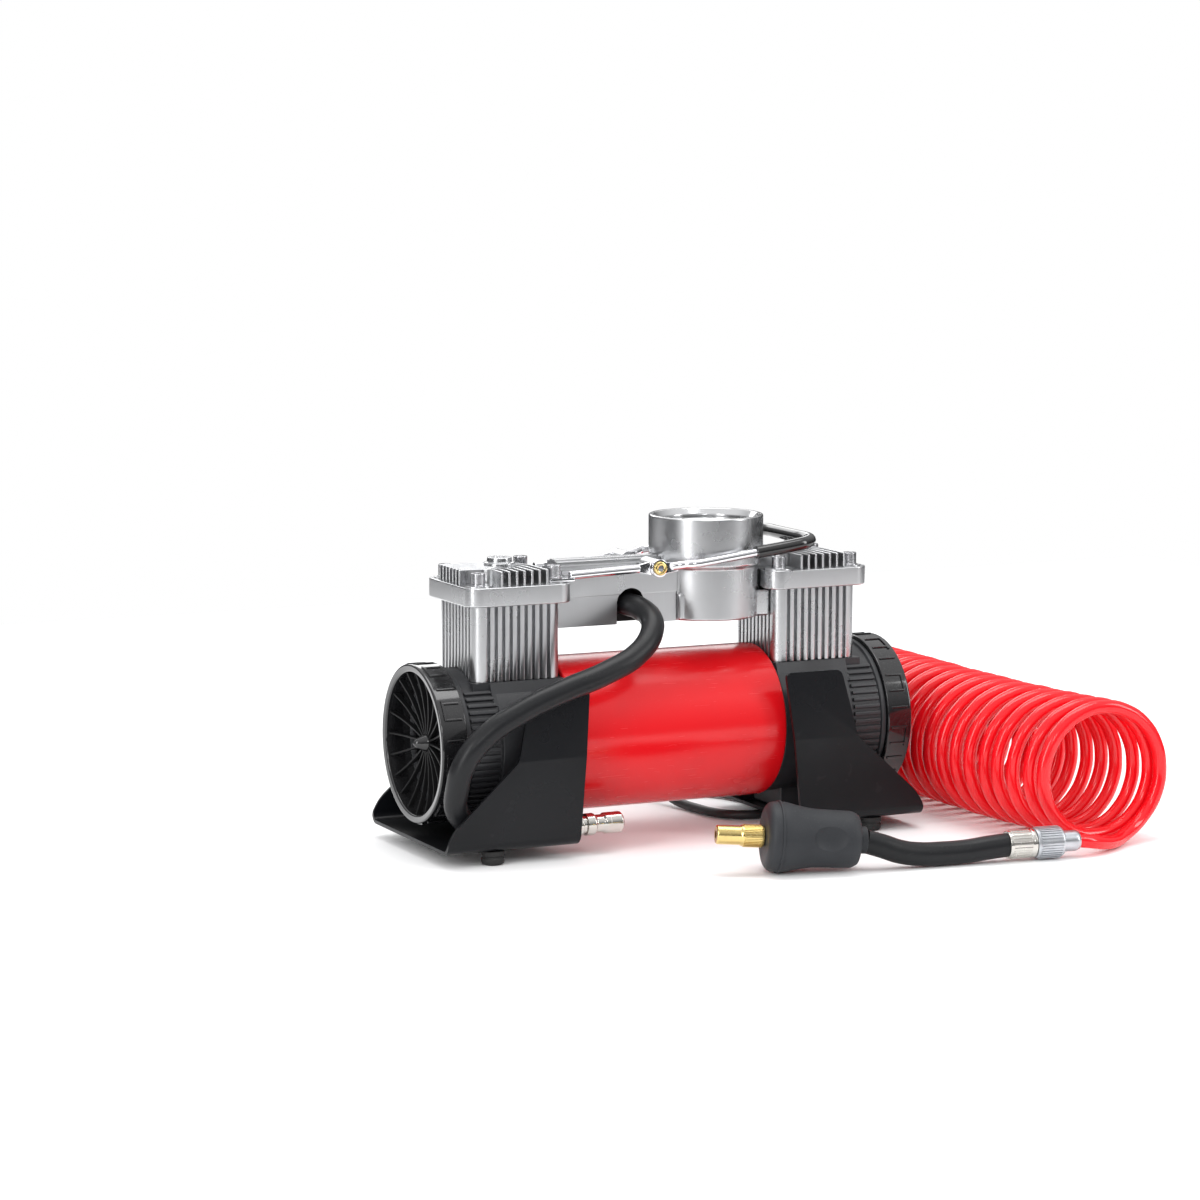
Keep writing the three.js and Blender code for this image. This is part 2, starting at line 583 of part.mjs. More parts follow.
function stay(row, way) {
  const screwX = -cylX + SCREW_AT;
  const y = way * SCREW_AT;
  const low = plateTop + GAP;
  const tab = box([screwX - 5, y - STAY_TAB_W / 2, low], [screwX + 12, y + STAY_TAB_W / 2, low + STAY_T]);
  const eyeMiddle = way * (stayEyeY + EYE_T / 2);
  const barStart = [screwX + 10, y + way, low + WIRE_R + 0.6];
  const bar = rod(WIRE_R, barStart, [PIVOT_X - 7, eyeMiddle - way, pivotZ]);
  const blade = box(
    [PIVOT_X - 9, Math.min(way * stayEyeY, way * (stayEyeY + EYE_T)), pivotZ - 3],
    [PIVOT_X - 4, Math.max(way * stayEyeY, way * (stayEyeY + EYE_T)), pivotZ + 3],
  );
  const clear = rod(SCREW_R + GAP, [screwX, y, low - 1], [screwX, y, low + STAY_T + 1], 12);
  const body = join(flatEye(stayEyeY, RIVET_R + GAP, way), blade, bar, tab);
  const over = rod(SCREW_HEAD_R + GAP, [screwX, y, low + STAY_T], [screwX, y, low + STAY_T + 20], FINE);
  add(`handle_stay_${row}`, cut(body, clear, over), 0xd0d3d6, 0.1, 1);

  const headY = bailEyeY + EYE_T + GAP;
  const rivet = turned([
    [1.7, bossY - 3], [RIVET_R, bossY - 3], [RIVET_R, headY], [4, headY], [4, headY + 0.6],
    [3.2, headY + 1.2], [1.7, headY + 1.2], [1.7, bossY - 3],
  ], FINE).rotateX(way > 0 ? -Math.PI / 2 : Math.PI / 2);
  add(`handle_rivet_${row}`, rivet.translate(PIVOT_X, 0, pivotZ), 0xb98a2e, 0.3, 1);
}

// The bail's centre line from the front eye round to the rear one, folded down.
function bailPath() {
  const endX = cylX - BAIL_END;
  const endZ = finTop + CAP_H + GRIP_R + GAP; // folded, the grip rests on the right head's cap
  const lift = (x) => pivotZ + ((x - PIVOT_X) / (endX - PIVOT_X)) * (endZ - pivotZ);
  const eyeY = bailEyeY + EYE_T / 2 + 1.4;
  const half = [
    [PIVOT_X + 8, eyeY], [PIVOT_X + 13, eyeY + 2], [PIVOT_X + 19, armY - 1], [PIVOT_X + 26, armY],
    [PIVOT_X + 42, armY], [PIVOT_X + 58, armY],
  ];
  const centre = endX - BAIL_CORNER;
  for (let i = 0; i <= 4; i += 1) {
    const angle = (i / 4) * (Math.PI / 2);
    half.push([centre + BAIL_CORNER * Math.sin(angle), armY - BAIL_CORNER * (1 - Math.cos(angle))]);
  }
  half.push([endX, armY / 3]);
  const front = half.map(([x, y]) => [x, -y, lift(x)]);
  const rear = half.slice().reverse().map(([x, y]) => [x, y, lift(x)]);
  return [...front, ...rear];
}

function handle() {
  stay('front', -1);
  stay('rear', 1);
  const path = bailPath();
  const wire = tube(path, WIRE_R, 32, 8);
  const parts = [-1, 1].flatMap((way) => {
    const low = Math.min(way * bailEyeY, way * (bailEyeY + EYE_T));
    return [
      flatEye(bailEyeY, RIVET_R + RUN, way),
      box([PIVOT_X + 3.8, low, pivotZ - 3], [PIVOT_X + 11, low + EYE_T, pivotZ + 3.6]),
    ];
  });
  add('handle_bail', join(wire, ...parts), 0xd0d3d6, 0.1, 1);
  const sleeve = path.slice(5, path.length - 5);
  add('handle_grip', tube(sleeve, GRIP_R, 20, 8, WIRE_R + GAP * 2), 0x0d0d0e, 0.2);
}

// ---- Outlet hose and nipple -------------------------------------------------------
const hoseRoute = [
  [NOTCH_X, -MANIFOLD_W / 2 + NOTCH_DEPTH - 1, notchZ - 1.2], [NOTCH_X + 0.5, -12, notchZ - 1.4],
  [NOTCH_X + 3, -22, notchZ - 2.6], [NOTCH_X + 5, -33, notchZ - 7], [NOTCH_X + 1, -43, notchZ - 14],
  [NOTCH_X - 12, -52, notchZ - 24], [NOTCH_X - 35, -58, notchZ - 33], [NOTCH_X - 62, -60.5, notchZ - 41],
  [NOTCH_X - 88, -61, notchZ - 51], [NOTCH_X - 109, -60.5, notchZ - 63], [NOTCH_X - 121, -58.5, notchZ - 77],
  [NOTCH_X - 124, -53, notchZ - 93], [NOTCH_X - 121, -46.4, notchZ - 108],
  [-(canEnd + 64), -45.2, nippleZ + 4], [-(canEnd + 48), nippleY, nippleZ + 0.4],
  [-(canEnd + 26), nippleY, nippleZ], [-(canEnd + 5), nippleY, nippleZ],
];

function outlet() {
  add('outlet_hose', tube(hoseRoute, HOSE_R, 30, 8), 0x1b1c1e, 0.6);
  const start = -(canEnd + 5) + GAP;
  const profile = [
    [2.6, start], [6.2, start], [6.2, start + 11], [5.2, start + 11.4], [5.2, start + 12.8],
    [6.1, start + 13.2], [6.1, start + 31], [5.4, start + 32], [2.6, start + 32], [2.6, start],
  ];
  add('outlet_nipple', turnedX(profile, FINE).translate(0, nippleY, nippleZ), 0xb9bcc0, 0.25, 1);
}

// ---- Power lead ---------------------------------------------------------------------
const lay = LEAD_R + GAP; // height of a lead that lies on the floor
const leadRoute = [
  [LEAD_X, MOTOR_R + GLAND_L + GAP * 4, axisZ], [LEAD_X, MOTOR_R + 30, axisZ - 0.4],
  [LEAD_X + 0.2, MOTOR_R + 38, axisZ - 3.5], [LEAD_X + 0.7, MOTOR_R + 45, axisZ - 10],
  [LEAD_X + 1.4, MOTOR_R + 48.5, axisZ - 18.5], [LEAD_X + 2.3, MOTOR_R + 48.5, axisZ - 28.5],
  [LEAD_X + 3.5, MOTOR_R + 45, axisZ - 39], [LEAD_X + 5, MOTOR_R + 38.5, axisZ - 48],
  [LEAD_X + 7, MOTOR_R + 30, 8.6], [47.5, 64, 4.6], [49.5, 52, lay + 0.1], [51, 40, lay], [53.5, 26, lay],
  [59.5, 14, lay], [69.5, 7.5, lay], [80.5, 9, lay], [88.5, 17.5, lay], [92, 30, lay], [93, 46, lay],
  [91, 64, lay], [83, 83, lay], [66, 97, lay], [40, 103, lay], [15, 102, lay], [-10, 98.2, lay],
  [-16, 99.3, lay],
];
const plugTail = [
  [-70, 146, lay + 0.4], [-74, 163, 3.6], [-75.5, 180, 6.4], [-71.5, 194, 10.6], [-62, 201, 12.9],
  [PLUG_AT[0] - GAP * 2, PLUG_AT[1], PLUG_AT[2]],
];

function powerLead() {
  const gland = turned([
    [LEAD_R + GAP, 0], [7, 0], [7, 3], [5.4, 4], [4, GLAND_L], [LEAD_R + GAP, GLAND_L], [LEAD_R + GAP, 0],
  ], FINE).rotateX(-Math.PI / 2);
  add('lead_gland', gland.translate(LEAD_X, MOTOR_R + GAP, axisZ), 0x101113, 0.7);
  add('power_lead', tube(leadRoute, LEAD_R, 40, 8), 0x121314, 0.5);
  const half = LEAD_COIL_T / 2;
  const coil = ring(LEAD_COIL_R + half, LEAD_COIL_R - half, GAP, LEAD_COIL_T + GAP, 'z', 32);
  const wound = join(coil.translate(...LEAD_COIL_AT, 0), tube(plugTail, LEAD_R, 12, 8));
  add('power_lead_coil', wound, 0x121314, 0.5);
  const plug = turnedX([
    [0, 0], [5, 0], [8, 8], [12.5, 22], [13, 46], [10.4, 48], [10.4, 76], [6.6, 79], [4, 81],
    [4, 84], [2.4, 87], [0, 87],
  ], FINE);
  add('power_plug', plug.translate(...PLUG_AT), 0x131416, 0.5);
}

// ---- Loose tyre hose ----------------------------------------------------------------
const spiralZ = SPIRAL_R + 0.3;
const tubeZ = TUBE_R + 0.3;
const spiralAxis = [
  [222, -146, spiralZ], [214, -100, spiralZ], [209, -46, spiralZ], [208, 16, spiralZ],
  [209, 76, spiralZ], [210, 140, spiralZ],
];
const frontTail = [
  [187.3, -168.7, 9.5], [198, -169, 7.9], [209, -165, 5.6], [219, -159, tubeZ + 0.2],
  [229, -152, tubeZ + 1], [236, -144, tubeZ + 5],
];
const rearTail = [
  [206, 134, tubeZ + 2], [214, 143, tubeZ], [223, 149, tubeZ + 1], [232, 153, tubeZ + 3.6],
  [240, 156, 11], [247.2, 158, 12],
];
const chuckFront = [3, -133.5, 20.9];
const chuckBack = [60.5, -150.5, 16.9];
const whipRoute = [
  [60.8, -150.6, 16.2], [70, -153.3, 13.2], [80, -155.4, 9.6], [92, -157, 7.5], [106, -158.6, 7],
  [120, -160.2, 7.2], [134, -162, 8.6], [146.2, -163.5, 9.5],
];
const nutAxis = { x: 0.992, y: -0.125 };

function alongAxis(geometry, from, to) {
  const start = new THREE.Vector3(...from);
  const axis = new THREE.Vector3(...to).sub(start).normalize();
  const turn = new THREE.Quaternion().setFromUnitVectors(new THREE.Vector3(0, 0, 1), axis);
  return geometry.applyQuaternion(turn).translate(start.x, start.y, start.z);
}

function tyreHose() {
  const bodyProfile = [
    [0, 0], [16, 0], [19.5, 4], [20, 12], [17.6, 22], [16.4, 32], [16.2, 44], [16, 54], [13.5, 57.5],
    [0, 57.5],
  ];
  const body = cut(
    alongAxis(turned(bodyProfile, FINE * 2), chuckFront, chuckBack),
    alongAxis(turned([[0, -1], [4.4, -1], [4.4, 6], [0, 6]], FINE), chuckFront, chuckBack),
  );
  add('chuck_body', body, 0x33363a, 0.6);
  const nose = turned([
    [2.2, -27], [5.4, -27], [5.4, -13], [6.4, -12], [6.4, -GAP], [4, -GAP], [4, 5.5], [2.2, 5.5], [2.2, -27],
  ], FINE);
  add('chuck_nose', alongAxis(nose, chuckFront, chuckBack), 0xc9a851, 0.25, 1);
  add('whip_hose', tube(whipRoute, WHIP_R, 12, 8), 0x1b1c1e, 0.6);

  const start = [146.8, -163.6, 9.5];
  const end = [start[0] + nutAxis.x * 10, start[1] + nutAxis.y * 10, start[2]];
  const ferrule = turned([[4.5, 0], [8.2, 0], [8.2, 14], [4.5, 14], [4.5, 0]], FINE);
  add('whip_ferrule', alongAxis(ferrule, start, end), 0xcdbf95, 0.25, 1);
  const nut = turned([
    [2.5, 14 + GAP], [9.2, 14 + GAP], [9.2, 31], [6, 31], [6, 40], [2.5, 40], [2.5, 14 + GAP],
  ], FINE);
  add('swivel_nut', alongAxis(nut, start, end), 0xb7babd, 0.4, 1);

  const spiral = join(
    tube(spiralAxis, SPIRAL_R, 8, 18), tube(frontTail, TUBE_R, 8, 8), tube(rearTail, TUBE_R, 8, 8),
  );
  add('spiral_hose', spiral, 0xd8101a, 0.15);
  const coupler = turnedX([
    [4, 0], [7, 0], [7, 6], [11.5, 8], [11.5, 34], [9.5, 36], [9.5, 44], [4, 44], [4, 0],
  ], FINE);
  add('hose_coupler', coupler.translate(248, 158, 12), 0xb9bcc0, 0.25, 1);
}

// ---- Assembly ---------------------------------------------------------------------
motor();
eachSide(crankcase);
eachSide(endCover);
eachSide((name, side) => crank(name, side, side < 0));
eachSide((name, side) => piston(name, side, side < 0));
eachSide(cylinder);
eachSide(head);
eachSide(headScrews);
manifold();
gaugePod();
eachSide(bracket);
handle();
outlet();
powerLead();
tyreHose();

export default compressor;
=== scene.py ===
# %% [markdown]
# # A twin-cylinder tyre compressor
# One 12 V motor turns a crank at each end. Each crank drives a piston in a ribbed
# cylinder, and a cast manifold joins the two heads and carries the pressure gauge.
# The lesson builds the looks of every piece around a frame that already has the
# right sizes, so each step starts by asking the frame where its piece is.

# %% Load the frame
import json
import math

import bmesh
import bpy
from mathutils import Matrix, Vector


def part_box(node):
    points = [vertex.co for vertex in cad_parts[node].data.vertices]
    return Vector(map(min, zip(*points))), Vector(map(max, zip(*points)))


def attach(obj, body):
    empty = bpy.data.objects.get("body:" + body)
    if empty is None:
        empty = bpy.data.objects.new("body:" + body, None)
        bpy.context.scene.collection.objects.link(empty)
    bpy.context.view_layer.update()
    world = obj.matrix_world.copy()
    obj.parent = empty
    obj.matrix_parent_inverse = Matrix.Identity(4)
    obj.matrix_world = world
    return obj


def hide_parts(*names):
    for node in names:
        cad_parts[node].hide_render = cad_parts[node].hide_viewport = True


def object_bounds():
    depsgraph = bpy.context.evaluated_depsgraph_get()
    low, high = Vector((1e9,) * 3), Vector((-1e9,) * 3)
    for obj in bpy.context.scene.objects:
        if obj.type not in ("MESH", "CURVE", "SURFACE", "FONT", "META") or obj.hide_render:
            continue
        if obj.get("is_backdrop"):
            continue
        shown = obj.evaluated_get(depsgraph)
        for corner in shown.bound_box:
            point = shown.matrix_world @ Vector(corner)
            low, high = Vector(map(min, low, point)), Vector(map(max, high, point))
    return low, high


MM = 0.001
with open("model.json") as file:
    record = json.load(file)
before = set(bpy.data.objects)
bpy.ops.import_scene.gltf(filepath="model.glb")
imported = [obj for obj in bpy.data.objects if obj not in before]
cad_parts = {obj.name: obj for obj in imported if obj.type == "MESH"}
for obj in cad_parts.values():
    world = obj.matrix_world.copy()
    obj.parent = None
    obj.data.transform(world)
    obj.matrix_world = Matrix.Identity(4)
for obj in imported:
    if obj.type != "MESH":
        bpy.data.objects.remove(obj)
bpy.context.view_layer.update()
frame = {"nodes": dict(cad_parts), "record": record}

# %% [markdown]
# ## Camera, light and floor
# A long lens set low keeps the upright edges upright, as in a catalogue view. Cast metal
# needs something to mirror, so large soft lamps stand left, right and above a darker
# room: their reflections make the light and dark bands on the drum and the cylinders.
# The room itself is three rooms in one. It is seen as plain white, which hides the
# horizon; it lights matt surfaces evenly, which keeps the floor white; and shiny
# surfaces mirror a room that is dark below and light above. The floor ends a metre
# away, so that upright metal mirrors the dark room past its edge.

# %% Camera
camera = bpy.data.objects.new("camera", bpy.data.cameras.new("camera"))
bpy.context.scene.collection.objects.link(camera)
camera.location = (-0.9648, -1.9857, 0.4323)
camera.rotation_euler = (math.pi / 2 - 0.133, -0.001, -0.439)
camera.data.lens = 114.84
camera.data.sensor_width = 36
camera.data.clip_start = 0.05
bpy.context.scene.camera = camera
bpy.context.scene.view_settings.view_transform = "Standard"


# %% Lamps and the room
def lamp(name, place, target, size, watts, tint=(1, 1, 1)):
    """A rectangular soft lamp at place, turned to face target."""
    data = bpy.data.lights.new(name, "AREA")
    data.shape = "RECTANGLE"
    data.size, data.size_y = size
    data.energy = watts
    data.color = tint
    obj = bpy.data.objects.new(name, data)
    bpy.context.scene.collection.objects.link(obj)
    obj.location = place
    obj.rotation_euler = (Vector(target) - Vector(place)).to_track_quat("-Z", "Y").to_euler()


middle = (0, 0, 0.1)
lamp("lamp_left", (-1.5, -0.75, 0.6), middle, (0.45, 1.2), 12)
lamp("lamp_right", (1.25, -1.05, 0.75), middle, (0.35, 1.0), 8)
lamp("lamp_top", (0.1, 0.1, 1.5), middle, (1.3, 0.7), 10)
lamp("lamp_front", (-0.75, -1.7, 0.95), middle, (0.4, 0.3), 3)
lamp("lamp_back", (0.3, 1.5, 0.8), middle, (1.2, 0.5), 5)

world = bpy.data.worlds.new("room")
bpy.context.scene.world = world
world.use_nodes = True
tree = world.node_tree
tree.nodes.clear()
ray = tree.nodes.new("ShaderNodeLightPath")
direction = tree.nodes.new("ShaderNodeTexCoord")
split = tree.nodes.new("ShaderNodeSeparateXYZ")
ramp = tree.nodes.new("ShaderNodeValToRGB")
ramp.color_ramp.elements[0].position = 0.05
ramp.color_ramp.elements[0].color = (0.06, 0.062, 0.065, 1)
ramp.color_ramp.elements[1].position = 0.75
ramp.color_ramp.elements[1].color = (0.95, 0.95, 0.96, 1)
tree.links.new(direction.outputs["Generated"], split.inputs[0])
tree.links.new(split.outputs["Z"], ramp.inputs[0])
mirrored, even, seen = (tree.nodes.new("ShaderNodeBackground") for _ in range(3))
tree.links.new(ramp.outputs[0], mirrored.inputs["Color"])
even.inputs["Color"].default_value = (1.05, 1.05, 1.06, 1)
seen.inputs["Color"].default_value = (1, 1, 1, 1)
out = tree.nodes.new("ShaderNodeOutputWorld")
result = mirrored.outputs[0]
for kind, background in (("Is Diffuse Ray", even), ("Is Camera Ray", seen)):
    mix = tree.nodes.new("ShaderNodeMixShader")
    tree.links.new(ray.outputs[kind], mix.inputs[0])
    tree.links.new(result, mix.inputs[1])
    tree.links.new(background.outputs[0], mix.inputs[2])
    result = mix.outputs[0]
tree.links.new(result, out.inputs[0])


# %% Floor
def clear_selection():
    """Everything deselected and no mesh in edit mode: an operator acts on all that is selected."""
    if bpy.context.object and bpy.context.object.mode != "OBJECT":
        bpy.ops.object.mode_set(mode="OBJECT")
    bpy.ops.object.select_all(action="DESELECT")


clear_selection()
bpy.ops.mesh.primitive_plane_add(size=2, location=(0, 0, -0.0002))
floor = bpy.context.object
floor.name = "floor"
paper = bpy.data.materials.new("floor_paper")
paper.use_nodes = True
sheet = paper.node_tree.nodes["Principled BSDF"]
sheet.inputs["Base Color"].default_value = (0.93, 0.93, 0.93, 1)
sheet.inputs["Roughness"].default_value = 0.9
sheet.inputs["Specular IOR Level"].default_value = 0
floor.data.materials.append(paper)
floor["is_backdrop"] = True

# %% [markdown]
# ## Shared surface effects
# Real surfaces are never one flat value. Four small node groups carry what the finishes
# share: a fine grain to feel, soft patches for handling marks, thin scratches, and dust
# on what faces up. Each is built once and placed in a material with its own numbers.

# %% A helper for node groups
def new_group(name, inputs, outputs):
    """A shader node group with float or vector sockets; the pattern reads Object coordinates."""
    group = bpy.data.node_groups.new(name, "ShaderNodeTree")
    for label, value in inputs.items():
        kind = "NodeSocketFloat" if isinstance(value, (int, float)) else "NodeSocketVector"
        socket = group.interface.new_socket(label, in_out="INPUT", socket_type=kind)
        socket.default_value = value
    for label, kind in outputs.items():
        group.interface.new_socket(label, in_out="OUTPUT", socket_type=kind)
    start = group.nodes.new("NodeGroupInput")
    end = group.nodes.new("NodeGroupOutput")
    place = group.nodes.new("ShaderNodeTexCoord").outputs["Object"]
    return group, start, end, place


def feed(group, socket, value):
    """Gives a socket a number, or links another node's socket to it."""
    if isinstance(value, (int, float)):
        socket.default_value = value
    else:
        group.links.new(value, socket)


def math_node(group, operation, a, b, clamp=False):
    """A math node whose two inputs are numbers or sockets, and its output socket."""
    node = group.nodes.new("ShaderNodeMath")
    node.operation = operation
    node.use_clamp = clamp
    for socket, value in zip(node.inputs, (a, b)):
        feed(group, socket, value)
    return node.outputs[0]


def noise_node(group, place, scale, detail=2.0, roughness=0.5):
    """A 3-D noise at place and its value socket."""
    node = group.nodes.new("ShaderNodeTexNoise")
    for label, value in (("Detail", detail), ("Roughness", roughness), ("Vector", place), ("Scale", scale)):
        feed(group, node.inputs[label], value)
    return node.outputs["Fac"]


# %% Grain: a bumped normal
grain, start, end, place = new_group(
    "grain", {"Scale": 900.0, "Depth": 0.1}, {"Normal": "NodeSocketVector"})
bump = grain.nodes.new("ShaderNodeBump")
bump.inputs["Distance"].default_value = 0.4 * MM
grain.links.new(noise_node(grain, place, start.outputs["Scale"], 3.0, 0.6), bump.inputs["Height"])
grain.links.new(start.outputs["Depth"], bump.inputs["Strength"])
grain.links.new(bump.outputs[0], end.inputs["Normal"])

# %% Patches: soft marks from handling
patches, start, end, place = new_group(
    "patches", {"Scale": 20.0, "Low": 0.45, "High": 0.7}, {"Mask": "NodeSocketFloat"})
spread = patches.nodes.new("ShaderNodeMapRange")
spread.interpolation_type = "SMOOTHSTEP"
patches.links.new(noise_node(patches, place, start.outputs["Scale"], 4.0, 0.55), spread.inputs["Value"])
patches.links.new(start.outputs["Low"], spread.inputs["From Min"])
patches.links.new(start.outputs["High"], spread.inputs["From Max"])
patches.links.new(spread.outputs[0], end.inputs["Mask"])

# %% Scratches: thin stretched marks, stronger where patches fall
scratches, start, end, place = new_group(
    "scratches", {"Stretch": (60.0, 900.0, 900.0), "Amount": 0.5}, {"Mask": "NodeSocketFloat"})
stretch = scratches.nodes.new("ShaderNodeVectorMath")
stretch.operation = "MULTIPLY"
scratches.links.new(place, stretch.inputs[0])
scratches.links.new(start.outputs["Stretch"], stretch.inputs[1])
lines = noise_node(scratches, stretch.outputs[0], 1.0, 2.0, 0.6)
cover = noise_node(scratches, place, 35.0, 2.0)
thin = math_node(scratches, "GREATER_THAN", lines, 0.66)
kept = math_node(scratches, "MULTIPLY", thin, math_node(scratches, "GREATER_THAN", cover, 0.5))
scratches.links.new(math_node(scratches, "MULTIPLY", kept, start.outputs["Amount"]), end.inputs["Mask"])

# %% Dust: pale specks on faces that look up
dust, start, end, place = new_group("dust", {"Amount": 0.3}, {"Mask": "NodeSocketFloat"})
geometry = dust.nodes.new("ShaderNodeNewGeometry")
upright = dust.nodes.new("ShaderNodeSeparateXYZ")
dust.links.new(geometry.outputs["Normal"], upright.inputs[0])
facing_up = math_node(dust, "MULTIPLY", upright.outputs["Z"], 1.0, clamp=True)
specks = math_node(dust, "GREATER_THAN", noise_node(dust, place, 1400.0, 1.0), 0.69)
film = math_node(dust, "MULTIPLY", noise_node(dust, place, 45.0, 4.0), 0.35)
both = math_node(dust, "ADD", specks, film, clamp=True)
dust.links.new(math_node(dust, "MULTIPLY", math_node(dust, "MULTIPLY", both, facing_up),
                         start.outputs["Amount"]), end.inputs["Mask"])
print("surface groups:", [g.name for g in bpy.data.node_groups])

# %% [markdown]
# ## Finishes
# One builder makes every finish from the same parts: a colour that shifts a little in
# patches, a roughness that rises with patches and scratches, grain in the normal and a
# little dust. What is the same all over, such as coat or transmission, is set straight
# on the Principled shader.

# %% The finish builder
finishes = {}


def finish(name, color, rough, metal=0.0, *, shade=0.85, shade_scale=18.0, rough_gain=0.12,
           grain_scale=900.0, grain_depth=0.08, scratch=None, scratch_gain=0.2, dusty=0.0, **fixed):
    """A material in the object's style; fixed sets Principled sockets that never vary."""
    material = bpy.data.materials.new(name)
    material.use_nodes = True
    nodes, links = material.node_tree.nodes, material.node_tree.links
    shader = nodes["Principled BSDF"]

    def put(group, **values):
        node = nodes.new("ShaderNodeGroup")
        node.node_tree = group
        for label, value in values.items():
            node.inputs[label].default_value = value
        return node.outputs[0]

    def blend_color(mask, first, second):
        node = nodes.new("ShaderNodeMix")
        node.data_type = "RGBA"
        links.new(mask, node.inputs[0])
        for socket, value in ((node.inputs[6], first), (node.inputs[7], second)):
            if isinstance(value, tuple):
                socket.default_value = (*value, 1)
            else:
                links.new(value, socket)
        return node.outputs[2]

    patch = put(patches, Scale=shade_scale, Low=0.4, High=0.68)
    tone = blend_color(patch, color, tuple(c * shade for c in color))
    spread_node = nodes.new("ShaderNodeMapRange")
    spread_node.inputs["To Min"].default_value = rough
    spread_node.inputs["To Max"].default_value = min(1.0, rough + rough_gain)
    links.new(patch, spread_node.inputs["Value"])
    roughness = spread_node.outputs[0]
    if scratch:
        marks = put(scratches, Stretch=scratch, Amount=scratch_gain)
        roughness = math_node(material.node_tree, "ADD", roughness, marks, clamp=True)
        tone = blend_color(marks, tone, tuple(min(1.0, c * 1.5 + 0.04) for c in color))
    if dusty:
        tone = blend_color(put(dust, Amount=dusty), tone, (0.55, 0.54, 0.52))
    links.new(tone, shader.inputs["Base Color"])
    links.new(roughness, shader.inputs["Roughness"])
    links.new(put(grain, Scale=grain_scale, Depth=grain_depth), shader.inputs["Normal"])
    shader.inputs["Metallic"].default_value = metal
    for label, value in fixed.items():
        shader.inputs[label.replace("_", " ")].default_value = value
    finishes[name] = material
    return material


# %% Every finish of this compressor
finish("red_lacquer", (0.62, 0.004, 0.008), 0.22, shade=0.9, rough_gain=0.06, grain_scale=260.0,
       grain_depth=0.02, scratch=(70, 900, 900), scratch_gain=0.06, dusty=0.03,
       Coat_Weight=0.2, Coat_Roughness=0.15, Specular_IOR_Level=0.35)
finish("ferrite", (0.045, 0.045, 0.05), 0.75, grain_depth=0.3)
finish("steel", (0.55, 0.56, 0.58), 0.26, 1.0, scratch=(900, 70, 70))
finish("armature_copper", (0.45, 0.2, 0.09), 0.35, 0.7, shade=0.6, shade_scale=120.0)
finish("case_grey", (0.024, 0.025, 0.028), 0.36, shade=0.8, grain_scale=1300.0, grain_depth=0.22,
       scratch=(50, 700, 700), scratch_gain=0.1, dusty=0.06, Specular_IOR_Level=0.45)
finish("gloss_black", (0.009, 0.009, 0.01), 0.1, rough_gain=0.07, grain_scale=180.0, grain_depth=0.015,
       scratch=(500, 60, 500), scratch_gain=0.12, dusty=0.08, Coat_Weight=0.5, Coat_Roughness=0.05)
finish("satin_casting", (0.56, 0.565, 0.575), 0.27, 1.0, shade=0.94, shade_scale=25.0, rough_gain=0.05,
       grain_scale=1500.0, grain_depth=0.03, scratch=(700, 700, 25), scratch_gain=0.05, dusty=0.02)
finish("vent_black", (0.006, 0.006, 0.0065), 0.42, grain_depth=0.05, Specular_IOR_Level=0.22)
finish("bright_casting", (0.70, 0.705, 0.71), 0.12, 1.0, shade=0.94, rough_gain=0.06,
       grain_depth=0.04, scratch=(90, 90, 900), scratch_gain=0.08)
finish("piston_alloy", (0.52, 0.52, 0.53), 0.3, 1.0, scratch=(70, 900, 70))
finish("screw_steel", (0.62, 0.62, 0.64), 0.14, 1.0, rough_gain=0.1, scratch=(900, 900, 90))
finish("gauge_black", (0.014, 0.014, 0.015), 0.5, grain_depth=0.2, dusty=0.1)
finish("dial_face", (0.012, 0.012, 0.014), 0.55, grain_scale=2500.0, grain_depth=0.06)
finish("dial_white", (0.82, 0.82, 0.80), 0.5, shade=0.95, grain_depth=0.03)
finish("needle_red", (0.68, 0.05, 0.02), 0.35, grain_depth=0.03)
finish("clear_lens", (0.97, 0.98, 0.98), 0.02, rough_gain=0.03, grain_depth=0.004, grain_scale=60.0,
       Transmission_Weight=1.0, IOR=1.49)
finish("bracket_black", (0.0045, 0.005, 0.0065), 0.27, shade=0.75, shade_scale=14.0, rough_gain=0.08,
       grain_scale=1600.0, grain_depth=0.12, scratch=(90, 700, 90), scratch_gain=0.08, dusty=0.05,
       Specular_IOR_Level=0.25)
finish("foot_rubber", (0.012, 0.012, 0.012), 0.7, grain_scale=1000.0, grain_depth=0.3, dusty=0.15)
finish("polished_chrome", (0.80, 0.80, 0.82), 0.05, 1.0, shade=0.97, rough_gain=0.05,
       grain_scale=120.0, grain_depth=0.01, scratch=(300, 900, 300), scratch_gain=0.05)
finish("brass", (0.78, 0.60, 0.24), 0.17, 1.0, shade=0.88, shade_scale=60.0, scratch=(900, 120, 900))
finish("grip_black", (0.009, 0.009, 0.009), 0.12, rough_gain=0.1, grain_scale=200.0, grain_depth=0.03,
       dusty=0.08, Coat_Weight=0.35, Coat_Roughness=0.08)
finish("hose_rubber", (0.008, 0.0085, 0.0098), 0.33, shade=0.8, shade_scale=40.0, rough_gain=0.12,
       grain_scale=1100.0, grain_depth=0.1, scratch=(260, 260, 900), scratch_gain=0.1, dusty=0.05,
       Specular_IOR_Level=0.27)
finish("nickel", (0.66, 0.64, 0.60), 0.12, 1.0, shade=0.9, shade_scale=50.0, scratch=(900, 90, 90))
finish("zinc", (0.56, 0.58, 0.61), 0.3, 1.0, shade=0.82, shade_scale=90.0, grain_depth=0.15)
finish("lead_black", (0.014, 0.014, 0.015), 0.38, grain_scale=900.0, grain_depth=0.06, dusty=0.15)
